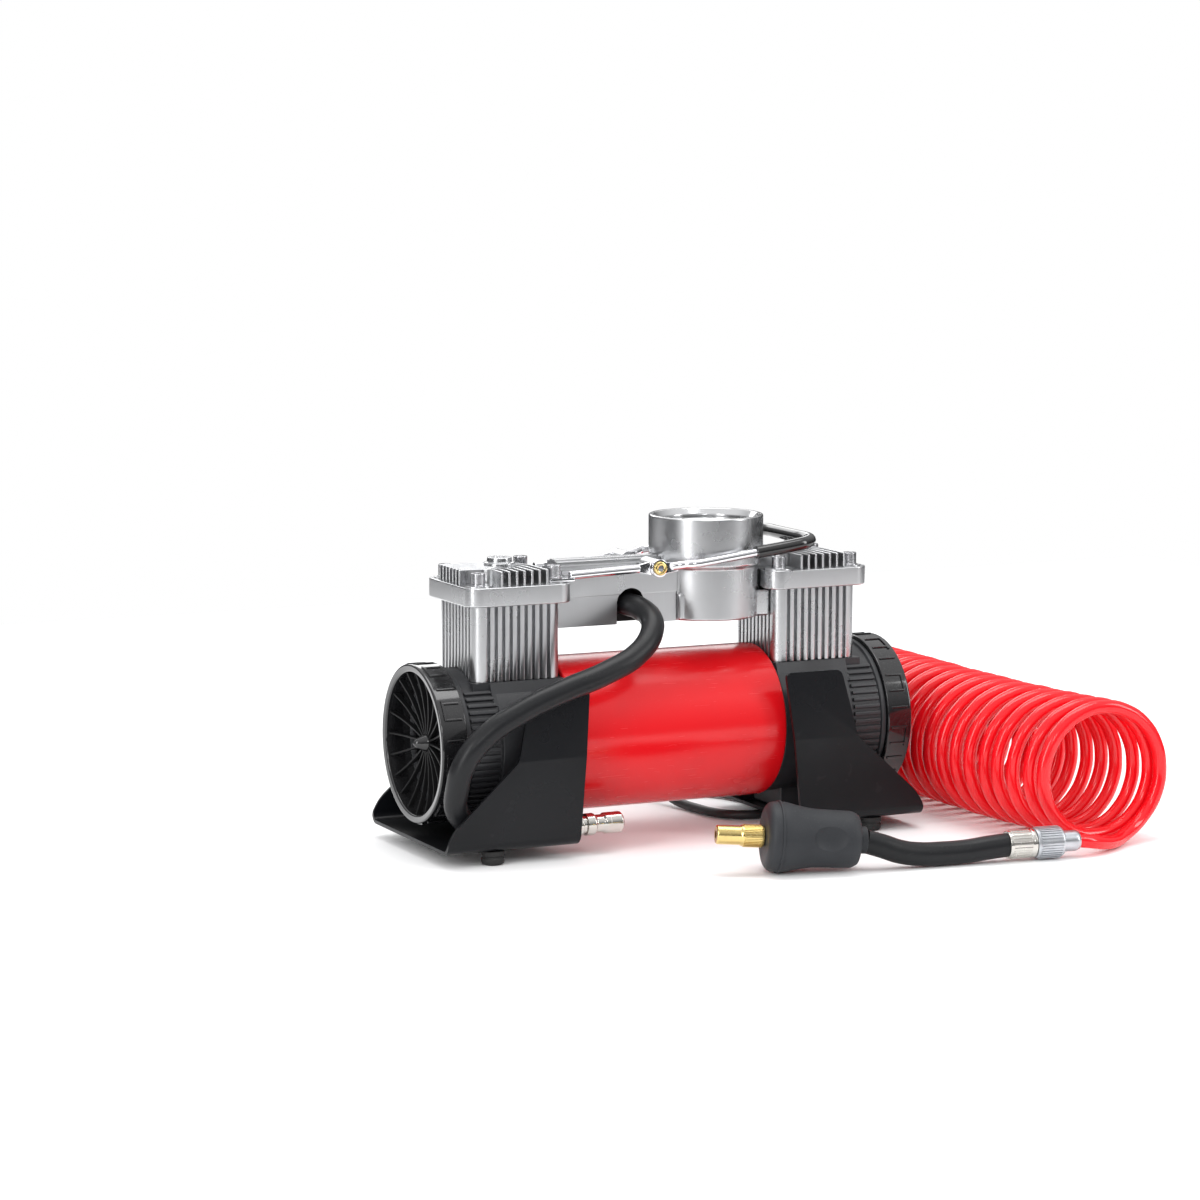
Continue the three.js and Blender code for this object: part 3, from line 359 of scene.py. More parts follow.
finish("chuck_rubber", (0.021, 0.023, 0.027), 0.46, shade=0.85, grain_scale=1500.0, grain_depth=0.22,
       scratch=(200, 700, 700), scratch_gain=0.1, dusty=0.06, Specular_IOR_Level=0.32)
finish("red_tube", (0.80, 0.004, 0.010), 0.15, shade=0.9, shade_scale=30.0, rough_gain=0.08,
       grain_scale=140.0, grain_depth=0.02, Subsurface_Weight=0.12, Subsurface_Scale=0.003,
       Coat_Weight=0.2, Coat_Roughness=0.06, Specular_IOR_Level=0.4)
# Near-black finish for the inside of the manifold's hose notch: painted shade in the recess, not a colour of
# the casting.
finish("notch_painted_shade", (0.004, 0.004, 0.004), 0.8, grain_depth=0.1)
print("finishes:", len(finishes))

# %% [markdown]
# ## Hoses and the lead
# A hose is a fixed length of something springy, so each is one smooth line through
# points that follow how it lies, with a round section of its real diameter. The spiral
# hose is a helix worked out turn by turn, and the part of the lead that is put away is
# a neat coil in four layers with a strap round it.

# %% A cord from a list of points
LEAD_R, HOSE_R, WHIP_R, TUBE_R = 2.75 * MM, 6.7 * MM, 6.8 * MM, 4 * MM


def cord_curve(name, points, radius, material, steps=8):
    """A round cord of that radius through points in millimetres; returns it and its length."""
    curve = bpy.data.curves.new(name, "CURVE")
    curve.dimensions = "3D"
    curve.bevel_depth = radius
    curve.bevel_resolution = 6
    curve.resolution_u = steps
    curve.use_fill_caps = True
    line = curve.splines.new("BEZIER")
    line.bezier_points.add(len(points) - 1)
    for knot, point in zip(line.bezier_points, points):
        knot.co = Vector(point) * MM
        knot.handle_left_type = knot.handle_right_type = "AUTO"
    curve.materials.append(finishes[material])
    obj = bpy.data.objects.new(name, curve)
    bpy.context.scene.collection.objects.link(obj)
    length = line.calc_length()
    print(f"{name}: {len(points)} points, {length:.3f} m")
    return obj, length


# %% Outlet hose, from the notch in the manifold to the nipple behind the left bracket
hose_route = [
    (-20.6, -6.5, 137.4), (-20.1, -12, 137.2), (-17.6, -22, 136), (-15.6, -33, 131.6),
    (-19.6, -43, 124.6), (-32.6, -52, 114.6), (-55.6, -58, 105.6), (-82.6, -60.5, 97.6),
    (-108.6, -61, 87.6), (-129.6, -60.5, 75.6), (-141.6, -58.5, 61.6), (-144.6, -53, 45.6),
    (-141.6, -46.4, 30.6), (-131, -45.2, 20.9), (-115, -44, 17.3), (-93, -44, 16.9),
    (-72, -44, 16.9),
]
outlet_hose, outlet_length = cord_curve("outlet_hose_line", hose_route, HOSE_R, "hose_rubber", 12)

# %% Whip hose, from the chuck to the crimped ferrule
whip_route = [
    (60.8, -150.6, 16.2), (70, -153.3, 13.2), (80, -155.4, 9.6), (92, -157, 7.5),
    (106, -158.6, 7), (120, -160.2, 7.2), (134, -162, 8.6), (146.2, -163.5, 9.5),
]
whip_hose, whip_length = cord_curve("whip_hose_line", whip_route, WHIP_R, "hose_rubber", 12)

# %% Spiral hose: two short tails and a helix that tightens towards the back
SPIRAL_MEAN_R = 38
SPIRAL_Z = 42.3
SPIRAL_TURNS = 21
spiral_axis = [(222, -146), (214, -100), (209, -46), (208, 16), (209, 76), (210, 139)]
front_tail = [(187.3, -168.7, 9.5), (198, -169, 7.9), (209, -165, 5.6), (219, -159, 4.5),
              (229, -152, 5.3)]
rear_tail = [(214, 143, 4.3), (223, 149, 5.3), (232, 153, 7.9), (240, 156, 11), (247.2, 158, 12)]


def on_axis(share):
    """The point at a share of the way along the spiral's bent axis, smoothed between its knots."""
    place = share * (len(spiral_axis) - 1)
    i = min(int(place), len(spiral_axis) - 2)
    knots = [spiral_axis[min(max(k, 0), len(spiral_axis) - 1)] for k in range(i - 1, i + 3)]
    t = place - i
    weights = (-t + 2 * t * t - t ** 3, 2 - 5 * t * t + 3 * t ** 3,
               t + 4 * t * t - 3 * t ** 3, t ** 3 - t * t)
    return tuple(sum(w * k[axis] for w, k in zip(weights, knots)) / 2 for axis in (0, 1))


helix = []
PER_TURN = 16
first = round(PER_TURN * 35 / 360)
for i in range(first, SPIRAL_TURNS * PER_TURN):
    turn = i / PER_TURN
    share = turn / SPIRAL_TURNS
    x, y = on_axis(share * (1 + 0.14 * (1 - share)))
    angle = turn * 2 * math.pi
    wander = 0.6 * math.sin(2.3 * turn) + 0.4 * math.sin(5.1 * turn)
    radius = SPIRAL_MEAN_R - abs(wander) * 0.5
    helix.append((x + radius * math.sin(angle), y + wander, SPIRAL_Z - radius * math.cos(angle)))
spiral_hose, spiral_length = cord_curve(
    "spiral_hose_line", front_tail + helix + rear_tail, TUBE_R, "red_tube", 4)

# %% Power lead: out of the relief, down, a loose loop under the motor, then the coil
lead_route = [
    (38, 68.2, 63), (38, 75, 62.6), (38.2, 83, 59.5), (38.7, 90, 53), (39.4, 93.5, 44.5),
    (40.3, 93.5, 34.5), (41.5, 90, 24), (43, 83.5, 15), (45, 75, 8.6), (47.5, 64, 4.6),
    (49.5, 52, 3.15), (51, 40, 3.05), (53.5, 26, 3.05), (59.5, 14, 3.05), (69.5, 7.5, 3.05),
    (80.5, 9, 3.05), (88.5, 17.5, 3.05), (92, 30, 3.05), (93, 46, 3.05), (91, 64, 3.05),
    (83, 83, 3.05), (66, 97, 3.05), (40, 103, 3.05), (15, 102, 3.05), (-10, 98.2, 3.05),
    (-16, 99.3, 3.05),
]
COIL_AT = (-30, 142)
COIL_OUT, COIL_IN = 38.25, 21.75
LIFT = 0.19
LEAVE = 0.451  # of a turn, from the top layer down to the floor
LAYER_TURNS = (COIL_OUT - COIL_IN) / (2000 * LEAD_R)
LAYERS = 4
LOW_Z, LAND_Z = 3.55, 3.1  # the lead's middle in the lowest layer, and where its end lies on the floor
FALL_OUT = 5.8  # how far outside the coil the lead comes down from the top layer
coil_z = [LOW_Z + layer * 2000 * LEAD_R for layer in range(LAYERS)]


def eased(t):
    """0 to 1 with a soft start and stop, for t from 0 to 1."""
    t = min(max(t, 0.0), 1.0)
    return t * t * (3 - 2 * t)


coil = []
start_angle = math.radians(-104)
layer_length = LAYER_TURNS + LIFT
total_turns = LAYERS * layer_length + LEAVE
for i in range(1, round(total_turns * PER_TURN) + 1):
    turn = i / PER_TURN
    layer = min(int(turn / layer_length), LAYERS)
    along = turn - layer * layer_length
    if layer < LAYERS:
        share = min(along / LAYER_TURNS, 1.0)
        inwards = share if layer % 2 == 0 else 1 - share
        radius = COIL_OUT - inwards * (COIL_OUT - COIL_IN)
        lift = eased((along - LAYER_TURNS) / LIFT)
        z = coil_z[layer]
        if layer < LAYERS - 1:
            z += lift * (coil_z[layer + 1] - z)
        else:
            radius += lift * FALL_OUT
    else:
        radius = COIL_OUT + FALL_OUT
        z = coil_z[-1] - eased(along / LEAVE) * (coil_z[-1] - LAND_Z)
    angle = start_angle - turn * 2 * math.pi
    coil.append((COIL_AT[0] + radius * math.cos(angle), COIL_AT[1] + radius * math.sin(angle), z))
plug_tail = [(-74, 163, 3.6), (-75.5, 180, 6.4), (-71.5, 194, 10.6), (-62, 201, 12.9), (-50.6, 202, 13.3)]
power_lead, lead_length = cord_curve(
    "power_lead_line", lead_route + coil + plug_tail, LEAD_R, "lead_black", 4)
print("coil ends at", tuple(round(c, 1) for c in coil[-1]), "and the tail starts at", plug_tail[0])

# %% [markdown]
# ## Tools for hard parts
# Most pieces start in one of two ways. A chain of edges is pulled out point by point and
# either spun round an axis, as on a lathe, or filled and pushed into a straight solid.
# Corners are rounded in the outline itself, so a highlight has a real edge to run along.

# %% Selecting, applying and joining
def activate(obj):
    clear_selection()
    obj.select_set(True)
    bpy.context.view_layer.objects.active = obj


def apply_modifier(obj, kind, **settings):
    """Adds a modifier, sets it and applies it."""
    modifier = obj.modifiers.new(kind.lower(), kind)
    for label, value in settings.items():
        setattr(modifier, label, value)
    activate(obj)
    bpy.ops.object.modifier_apply(modifier=modifier.name)
    return obj


def soften(obj, width, segments=2, angle=32):
    """Rounds the edges of obj that are sharper than angle; width is in millimetres."""
    return apply_modifier(obj, "BEVEL", width=width * MM, segments=segments, limit_method="ANGLE",
                          angle_limit=math.radians(angle), use_clamp_overlap=True, miter_outer="MITER_ARC")


def combine(obj, other, operation):
    """obj changed by a boolean with other, which is used up."""
    apply_modifier(obj, "BOOLEAN", operation=operation, object=other, solver="EXACT")
    bpy.data.objects.remove(other)
    return obj


def joined(objects):
    """All the objects as one, each keeping its own closed skin."""
    activate(objects[0])
    for obj in objects:
        obj.select_set(True)
    if len(objects) > 1:
        bpy.ops.object.join()
    return bpy.context.object


def placed(obj, turn=(0, 0, 0), move=(0, 0, 0)):
    """Turns obj about the origin in degrees, moves it in millimetres and applies both."""
    activate(obj)
    obj.rotation_euler = [math.radians(t) for t in turn]
    obj.location = Vector(move) * MM
    bpy.ops.object.transform_apply(location=True, rotation=True, scale=True)
    return obj


def copied(obj, turn=(0, 0, 0), move=(0, 0, 0)):
    """A turned and moved copy of obj with a mesh of its own."""
    twin = obj.copy()
    twin.data = obj.data.copy()
    bpy.context.scene.collection.objects.link(twin)
    return placed(twin, turn, move)


def spread_out(obj, turns, move=(0, 0, 0)):
    """A copy of obj for each turn in the list; obj itself is used up."""
    made = [copied(obj, turn, move) for turn in turns]
    bpy.data.objects.remove(obj)
    return made


# %% Chains, turned solids and straight solids
def chain(points, closed=False):
    """A chain of edges through 3-D points in millimetres, left in edit mode."""
    clear_selection()
    bpy.ops.mesh.primitive_plane_add(size=MM, location=Vector(points[0]) * MM)
    bpy.ops.object.transform_apply(location=True)
    bpy.ops.object.mode_set(mode="EDIT")
    bpy.ops.mesh.select_all(action="SELECT")
    bpy.ops.mesh.merge(type="CENTER")
    route = list(points) + ([points[0]] if closed else [])
    for a, b in zip(route, route[1:]):
        step = (Vector(b) - Vector(a)) * MM
        bpy.ops.mesh.extrude_region_move(TRANSFORM_OT_translate={"value": step})
    bpy.ops.mesh.select_all(action="SELECT")
    if closed:
        bpy.ops.mesh.remove_doubles(threshold=0.001 * MM)
    return bpy.context.object


def tidied():
    """Merges doubles, turns faces outwards and leaves edit mode."""
    bpy.ops.mesh.select_all(action="SELECT")
    bpy.ops.mesh.remove_doubles(threshold=0.004 * MM)
    bpy.ops.mesh.normals_make_consistent(inside=False)
    bpy.ops.object.mode_set(mode="OBJECT")
    return bpy.context.object


def turned(profile, sides=72, closed=False, angle=360):
    """A solid turned about Z from (radius, height) points in millimetres."""
    chain([(r, 0, z) for r, z in profile], closed)
    bpy.ops.mesh.spin(steps=sides, angle=math.radians(angle), center=(0, 0, 0), axis=(0, 0, 1))
    return tidied()


def lathed(points, corners, sides, steps=4, closed=True):
    """A turned solid whose profile has rounded corners; see rounded below."""
    return turned(rounded(points, corners, steps, closed), sides, closed)


def straight(outline, push):
    """A straight solid: a closed outline of 3-D points pushed by a vector, in millimetres."""
    chain(outline, closed=True)
    bpy.ops.mesh.edge_face_add()
    bpy.ops.mesh.extrude_region_move(TRANSFORM_OT_translate={"value": Vector(push) * MM})
    return tidied()


def block(low, high):
    """A plain box between two corners in millimetres, for cutting and joining."""
    clear_selection()
    size = [h - l for l, h in zip(low, high)]
    bpy.ops.mesh.primitive_cube_add(size=MM, location=[(l + h) / 2 * MM for l, h in zip(low, high)])
    bpy.context.object.scale = size
    bpy.ops.object.transform_apply(location=True, rotation=True, scale=True)
    return bpy.context.object


def post(radius, low, high, at=(0, 0), sides=48):
    """A plain upright cylinder in millimetres, for cutting and joining."""
    clear_selection()
    bpy.ops.mesh.primitive_cylinder_add(vertices=sides, radius=radius * MM, depth=(high - low) * MM,
                                        location=(at[0] * MM, at[1] * MM, (low + high) / 2 * MM))
    bpy.ops.object.transform_apply(location=True)
    return bpy.context.object


# %% Rounded outlines
def rounded(points, radius, steps=4, closed=True):
    """A 2-D outline with its corners curved; radius is one number or {corner: number}."""
    made = []
    for i, point in enumerate(points):
        wanted = radius.get(i, 0) if isinstance(radius, dict) else radius
        corner = Vector(point)
        back = Vector(points[i - 1]) - corner
        ahead = Vector(points[(i + 1) % len(points)]) - corner
        reach = min(wanted, back.length * 0.48, ahead.length * 0.48)
        if reach < 1e-4 or (not closed and i in (0, len(points) - 1)):
            made.append(tuple(point))
            continue
        first, last = corner + back.normalized() * reach, corner + ahead.normalized() * reach
        for k in range(steps + 1):
            t = k / steps
            made.append(tuple(first * (1 - t) ** 2 + corner * 2 * t * (1 - t) + last * t * t))
    return made


def round_square(half, corner, side=(), steps=8):
    """A square about the origin with circular corners; side adds (along, inwards) points to each side."""
    made = []
    for quarter in range(4):
        turn = Matrix.Rotation(math.radians(90 * quarter), 2)
        points = [(along, -half + deep) for along, deep in side]
        for k in range(steps + 1):
            angle = math.radians(-90 + 90 * k / steps)
            points.append((half - corner + corner * math.cos(angle),
                           -half + corner + corner * math.sin(angle)))
        made += [tuple(turn @ Vector(point)) for point in points]
    return made


# %% Handing a piece over
def hand_over(obj, name, slot, nodes, body="compressor", angle=35, paint=True):
    """Names, shades and paints a finished piece, and ties it to the frame."""
    activate(obj)
    bpy.ops.object.shade_smooth_by_angle(angle=math.radians(angle))
    apply_modifier(obj, "WEIGHTED_NORMAL", keep_sharp=True, weight=50)
    obj.name = obj.data.name = name
    if paint:
        obj.data.materials.clear()
        obj.data.materials.append(finishes[slot])
    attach(obj, body)
    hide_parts(*nodes)
    print(f"{name}: {len(obj.data.polygons)} faces")
    return obj


def hand_over_both(right, name, slot, node, angle=35):
    """Hands over a piece of the right-hand pump, and its copy turned round for the left."""
    left = copied(right, turn=(0, 0, 180))
    return [hand_over(piece, f"{side}_{name}", slot, [f"{side}_{node}"], angle=angle)
            for side, piece in (("left", left), ("right", right))]


def second_finish(obj, finish_name, test):
    """Gives another finish to the faces whose centre and normal pass the test."""
    obj.data.materials.append(finishes[finish_name])
    for face in obj.data.polygons:
        if test(face.center / MM, face.normal):
            face.material_index = 1


def in_mm(node):
    """A node's lowest and highest corner in millimetres."""
    low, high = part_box(node)
    return low / MM, high / MM


def left_end(node):
    """The middle of the left-hand end of a node's box, in millimetres."""
    low, high = in_mm(node)
    return low.x, (low.y + high.y) / 2, (low.z + high.z) / 2


# %% Sizes read from the frame
can_low, can_high = in_mm("motor_can")
AXIS_Z = (can_low.z + can_high.z) / 2
CAN_R = (can_high.z - can_low.z) / 2
CAN_END = can_high.x
case_low, case_high = in_mm("right_crankcase")
CASE_IN, CASE_OUT = case_low.x, case_high.x
CASE_R = (case_high.y - case_low.y) / 2
cover_low, cover_high = in_mm("right_end_cover")
COVER_IN, COVER_OUT = cover_low.x, cover_high.x
COVER_R = (cover_high.z - cover_low.z) / 2
cyl_low, cyl_high = in_mm("right_cylinder")
CYL_X = (cyl_low.x + cyl_high.x) / 2
CYL_HALF = (cyl_high.x - cyl_low.x) / 2
piston_low, piston_high = in_mm("right_piston_rod")
BORE_R = (piston_high.y - piston_low.y) / 2 + 0.3
BEARING_R = 13.3
head_low, head_high = in_mm("right_head")
HEAD_HALF = (head_high.x - head_low.x) / 2
HEAD_Z = head_low.z
PLATE_TOP = HEAD_Z + 10.9
FIN_TOP = PLATE_TOP + 8.6
CAP_TOP = head_high.z
ALONG_X = (0, 90, 0)  # the turn that lays a piece made upright along the motor
print(f"axis {AXIS_Z:.1f}, can end {CAN_END:.1f}, cylinder at {CYL_X:.1f}, head from {HEAD_Z:.1f}")

# %% [markdown]
# ## Motor can
# The can is a rolled steel tube under gloss lacquer. It only needs a fine outline, with
# its two ends turned in a little so that the lacquer catches a thin line of light.

# %% Motor can
CAN_WALL = 3
can = lathed([
    (CAN_R - CAN_WALL, -CAN_END), (CAN_R, -CAN_END), (CAN_R, CAN_END), (CAN_R - CAN_WALL, CAN_END),
], {0: 0.3, 1: 1.2, 2: 1.2, 3: 0.3}, 128)
can = placed(can, ALONG_X, (0, 0, AXIS_Z))
hand_over(can, "motor_can_shell", "red_lacquer", ["motor_can"])

# %% [markdown]
# ## Crankcases
# Each crankcase is a die casting: a turned bowl with a flat deck for the cylinder and a
# band of fine ribs at the outer end. The bowl is spun, the deck joined to it, and one
# rib is copied round the band, leaving out those that the cylinder would stand on.

# %% Crankcase
RIB_COUNT = 63
DECK_ANGLE = 39  # no rib stands closer than this to the top, in degrees
RIB_FROM, RIB_TO = CASE_OUT - 21.5, CASE_OUT - 3.4
DECK_Z = cyl_low.z - 0.3


def crankcase():
    """The right-hand casting, bored and ribbed."""
    bowl = lathed([
        (BEARING_R, CASE_IN), (CASE_R, CASE_IN), (CASE_R, RIB_FROM - 0.8), (CASE_R - 1.5, RIB_FROM),
        (CASE_R - 1.5, RIB_TO), (CASE_R, RIB_TO + 0.7), (CASE_R, CASE_OUT), (33, CASE_OUT),
        (33, CASE_IN + 9), (BEARING_R, CASE_IN + 9),
    ], {1: 1.2, 2: 0.4, 3: 0.4, 4: 0.4, 5: 0.4, 6: 0.5, 7: 0.6}, 128)
    bowl = placed(bowl, ALONG_X, (0, 0, AXIS_Z))
    half = CYL_HALF
    cheeks = [(-half - 1.4, DECK_Z), (-half - 4, DECK_Z - 6), (-half - 8.5, DECK_Z - 12), (-20, 66),
              (20, 66), (half + 8.5, DECK_Z - 12), (half + 4, DECK_Z - 6), (half + 1.4, DECK_Z)]
    left_x, right_x = CYL_X - half - 0.4, CYL_X + half - 8.5
    deck = straight([(left_x, y, z) for y, z in cheeks], (right_x - left_x, 0, 0))
    lip = block((CYL_X - half - 0.4, -half - 1.2, DECK_Z - 8), (CYL_X + half + 1.6, half + 1.2, DECK_Z))
    chamber = placed(post(32.6, CASE_IN + 9, CASE_OUT + 2, sides=96), ALONG_X, (0, 0, AXIS_Z))
    seat = block((CASE_IN - 3, -half - 0.4, DECK_Z), (CYL_X + half + 0.4, half + 0.4, AXIS_Z + CASE_R + 3))
    body = combine(combine(bowl, deck, "UNION"), lip, "UNION")
    piston_way = post(BORE_R, AXIS_Z, DECK_Z + 2, (CYL_X, 0), 64)
    bearing_way = placed(post(BEARING_R, CASE_IN - 1, CASE_IN + 10, sides=128), ALONG_X, (0, 0, AXIS_Z))
    for tool in (chamber, seat, piston_way, bearing_way):
        body = combine(body, tool, "DIFFERENCE")
    return soften(body, 0.45, 2, 40)


def case_ribs():
    """One rounded rib, copied round the band except under the cylinder."""
    rib = block((RIB_FROM + 0.7, -1.15, 41), (RIB_TO - 0.3, 1.15, CASE_R + 0.1))
    angles = [(i + 0.5) * 360 / RIB_COUNT for i in range(RIB_COUNT)]
    clear_angles = [a for a in angles if min(a, 360 - a) > DECK_ANGLE]
    return spread_out(soften(rib, 0.55, 2), [(a, 0, 0) for a in clear_angles], (0, 0, AXIS_Z))


saddle = soften(block((CYL_X - 18, -17, 10.3), (CYL_X + 14, 17, AXIS_Z - CASE_R + 6)), 1.5, 3)
hand_over_both(joined([crankcase(), saddle, *case_ribs()]), "crankcase_casting", "case_grey", "crankcase")

# %% [markdown]
# ## End covers
# A gloss black cover closes each end: a deep rim with raised marks for the fingers and
# thin dished blades that let air in. The rim is turned, one blade is shaped and copied
# round, and the marks are bars and open frames set on the rim.

# %% End cover
BLADES = 20
TEETH = 60
MARKS = 9


def cover_rim():
    inner = COVER_R - 5.2
    return lathed([
        (COVER_R - 3.2, COVER_IN), (COVER_R, COVER_IN), (COVER_R, COVER_OUT), (inner + 0.6, COVER_OUT - 0.7),
        (inner, COVER_OUT - 6), (inner + 0.8, COVER_IN),
    ], {0: 0.3, 1: 0.7, 2: 1.6, 3: 1.0, 4: 1.0}, 128, 5)


def cover_blades():
    """Dished blades from the hub to the rim, a pointed hub and a notched ring behind them."""
    edge = COVER_R - 4.4
    blade = straight([(x, 0, r) for r, x in rounded([
        (2.5, COVER_IN + 3.6), (15, COVER_IN + 4.6), (30, COVER_IN + 7), (edge, COVER_IN + 10),
        (edge, COVER_OUT - 2.4), (30, COVER_OUT - 6.2), (15, COVER_OUT - 8.4), (2.5, COVER_OUT - 8.8),
    ], {1: 4, 2: 4, 5: 5, 6: 5})], (0, 1.25, 0))
    blade = soften(placed(blade, move=(0, -0.625, 0)), 0.35, 2)
    blades = spread_out(blade, [(i * 360 / BLADES, 0, 0) for i in range(BLADES)])
    hub = lathed([
        (0, COVER_IN + 3), (5.6, COVER_IN + 3), (5.4, COVER_OUT - 8.6), (3.9, COVER_OUT - 5.6),
        (2.2, COVER_OUT - 2.2), (0, COVER_OUT - 0.8),
    ], {1: 0.4, 2: 1, 3: 1.5, 4: 1.4}, 40, closed=False)
    inner, outer, back = 20.5, 23.5, COVER_IN + 2
    ring = turned([(inner, back), (outer, back), (outer, back + 3), (inner, back + 3)], 72, closed=True)
    tooth = soften(block((back + 2, -0.5, inner + 0.1), (back + 3.8, 0.5, outer - 0.1)), 0.2, 1)
    teeth = spread_out(tooth, [(i * 360 / TEETH, 0, 0) for i in range(TEETH)])
    return blades + teeth + [placed(hub, ALONG_X), placed(ring, ALONG_X)]


def cover_marks():
    """Raised bars along the rim, and frames of two bars and a curved one between them."""
    low, high, span = COVER_R - 0.6, COVER_R + 0.75, 15
    bar = soften(block((COVER_IN + 2.2, -0.7, low), (COVER_OUT - 3.2, 0.7, high)), 0.4, 2)
    curved = turned([(low, COVER_OUT - 4.4), (high, COVER_OUT - 4.4),
                     (high, COVER_OUT - 3.1), (low, COVER_OUT - 3.1)], 10, True, span)
    angles = [i * 360 / MARKS for i in range(MARKS)]
    return [*spread_out(bar, [(a + shift, 0, 0) for a in angles for shift in (0, span, span + 12.5)]),
            *spread_out(placed(curved, ALONG_X), [(a + 90, 0, 0) for a in angles])]


cover = joined([placed(cover_rim(), ALONG_X), *cover_blades(), *cover_marks()])
for piece in hand_over_both(placed(cover, move=(0, 0, AXIS_Z)), "vented_cover", "gloss_black", "end_cover"):
    second_finish(piece, "vent_black", lambda at, out: 6 < math.hypot(at.y, at.z - AXIS_Z) < COVER_R - 5.6)

# %% [markdown]
# ## Cylinders
# The cylinder is an extrusion-like casting, a square with soft corners and nine slots on
# each side. Drawing the slotted outline once and pushing it upwards gives clean walls,
# and each land between two slots has its own small rounding, which is what glints.

# %% Cylinder outline and body
SLOTS, SLOT_PITCH, SLOT_W, SLOT_DEEP = 9, 4.62, 1.9, 3.2


def slotted_side():
    """One side of the square from corner to corner, as (along, out) points."""
    points = []
    for i in range(SLOTS):
        at = (i - (SLOTS - 1) / 2) * SLOT_PITCH
        a, b = at - SLOT_W / 2, at + SLOT_W / 2
        wall = [(-0.55, 0), (-0.12, 0.18), (0, 0.6), (0.1, SLOT_DEEP - 0.5), (0.5, SLOT_DEEP)]
        points += [(a + x, deep) for x, deep in wall] + [(b - x, deep) for x, deep in wall[::-1]]
    return points


outline = round_square(CYL_HALF, 6.9, slotted_side())
right_cylinder = straight([(CYL_X + x, y, cyl_low.z) for x, y in outline], (0, 0, cyl_high.z - cyl_low.z))
bore = post(BORE_R, cyl_low.z - 1, cyl_high.z + 1, (CYL_X, 0), 96)
right_cylinder = combine(right_cylinder, bore, "DIFFERENCE")
hand_over_both(right_cylinder, "finned_cylinder", "satin_casting", "cylinder", 50)

# %% [markdown]
# ## Cylinder heads
# A head is a thick plate with seven nested fins that bend round the front left screw,
# a pocket for each screw and a round cap in the middle. One fin function gives all
# seven: only the distance from the corner and the radius of the bend change.

# %% Cylinder head
FINS, FIN_PITCH, FIN_FIRST = 7, 4.67, -11.5
SCREW_AT, RECESS = 23.5, 22.8


def head_fin(index):
    """An angle-shaped fin with a round bend and rounded free ends."""
    at = FIN_FIRST + index * FIN_PITCH
    edge = HEAD_HALF - 2.4
    bend = 9 + index * 3
    outer, inner = at + 0.8, at - 0.8
    outline = [(-edge, inner)]
    for side, radius, ahead in ((inner, bend - 1.6, True), (outer, bend, False)):
        arc = [(side - radius + radius * math.sin(a), side - radius + radius * math.cos(a))
               for a in (math.radians(90 * k / 6) for k in range(7))]
        outline += arc + [(side, -edge)] if ahead else [(side, -edge)] + arc[::-1]
    outline.append((-edge, outer))
    fin = straight([(x, y, PLATE_TOP - 0.4) for x, y in outline], (0, 0, FIN_TOP - PLATE_TOP + 0.4))
    activate(fin)
    bpy.ops.object.mode_set(mode="EDIT")
    mesh = bmesh.from_edit_mesh(fin.data)
    for edge_item in mesh.edges:
        a, b = (v.co / MM for v in edge_item.verts)
        high = min(a.z, b.z) > FIN_TOP - 0.1
        at_end = any(max(abs(a[k] + edge), abs(b[k] + edge)) < 0.05 for k in (0, 1))
        edge_item.select_set(high and at_end)
    bmesh.update_edit_mesh(fin.data)
    bpy.ops.mesh.bevel(offset=6 * MM, segments=8, affect="EDGES")
    bpy.ops.object.mode_set(mode="OBJECT")
    return soften(fin, 0.65, 3, 50)


def cylinder_head():
    plate = straight([(x, y, HEAD_Z) for x, y in round_square(HEAD_HALF, 9)], (0, 0, PLATE_TOP - HEAD_Z))
    recess = block((-RECESS, -RECESS, HEAD_Z - 1), (RECESS, RECESS, HEAD_Z + 3))
    plate = soften(combine(plate, recess, "DIFFERENCE"), 0.8, 3, 40)
    pocket = soften(post(8.6, PLATE_TOP - 0.3, PLATE_TOP + 0.9, (-SCREW_AT, -SCREW_AT), 40), 0.4)
    pads = [soften(post(6.6, PLATE_TOP - 0.3, PLATE_TOP + 0.5, spot, 32), 0.3)
            for spot in ((SCREW_AT, -SCREW_AT), (-SCREW_AT, SCREW_AT), (SCREW_AT, SCREW_AT))]
    cap = lathed([
        (0, PLATE_TOP), (9.4, PLATE_TOP), (9, FIN_TOP + 1.6), (7.2, FIN_TOP + 2), (7, CAP_TOP), (4, CAP_TOP),
        (3.6, CAP_TOP - 1), (0, CAP_TOP - 1),
    ], {2: 0.5, 3: 0.3, 4: 0.6, 5: 0.3, 6: 0.3}, 56, closed=False)
    return joined([plate, pocket, cap, *pads, *[head_fin(i) for i in range(FINS)]])


first_head = cylinder_head()
for side, way in (("left", -1), ("right", 1)):
    piece = copied(first_head, move=(way * CYL_X, 0, 0))
    hand_over(piece, f"{side}_finned_head", "satin_casting", [f"{side}_head"], angle=40)
bpy.data.objects.remove(first_head)

# %% [markdown]
# ## Head screws
# Socket head screws, one shape for all eight. The head is turned with a washer under
# it, then a six-sided hole is sunk for the key.

# %% Socket screws
SCREW_HEAD = 7.4


def socket_screw():
    head = lathed([
        (0, -10), (1.7, -10), (1.7, 0), (4.7, 0), (4.7, 0.7), (4.05, 0.75), (4.05, SCREW_HEAD),
        (0, SCREW_HEAD),
    ], {3: 0.15, 4: 0.2, 6: 0.5}, 44, closed=False)
    key = post(2.35, 4, 8, sides=6)
    return soften(combine(head, key, "DIFFERENCE"), 0.12, 1, 50)


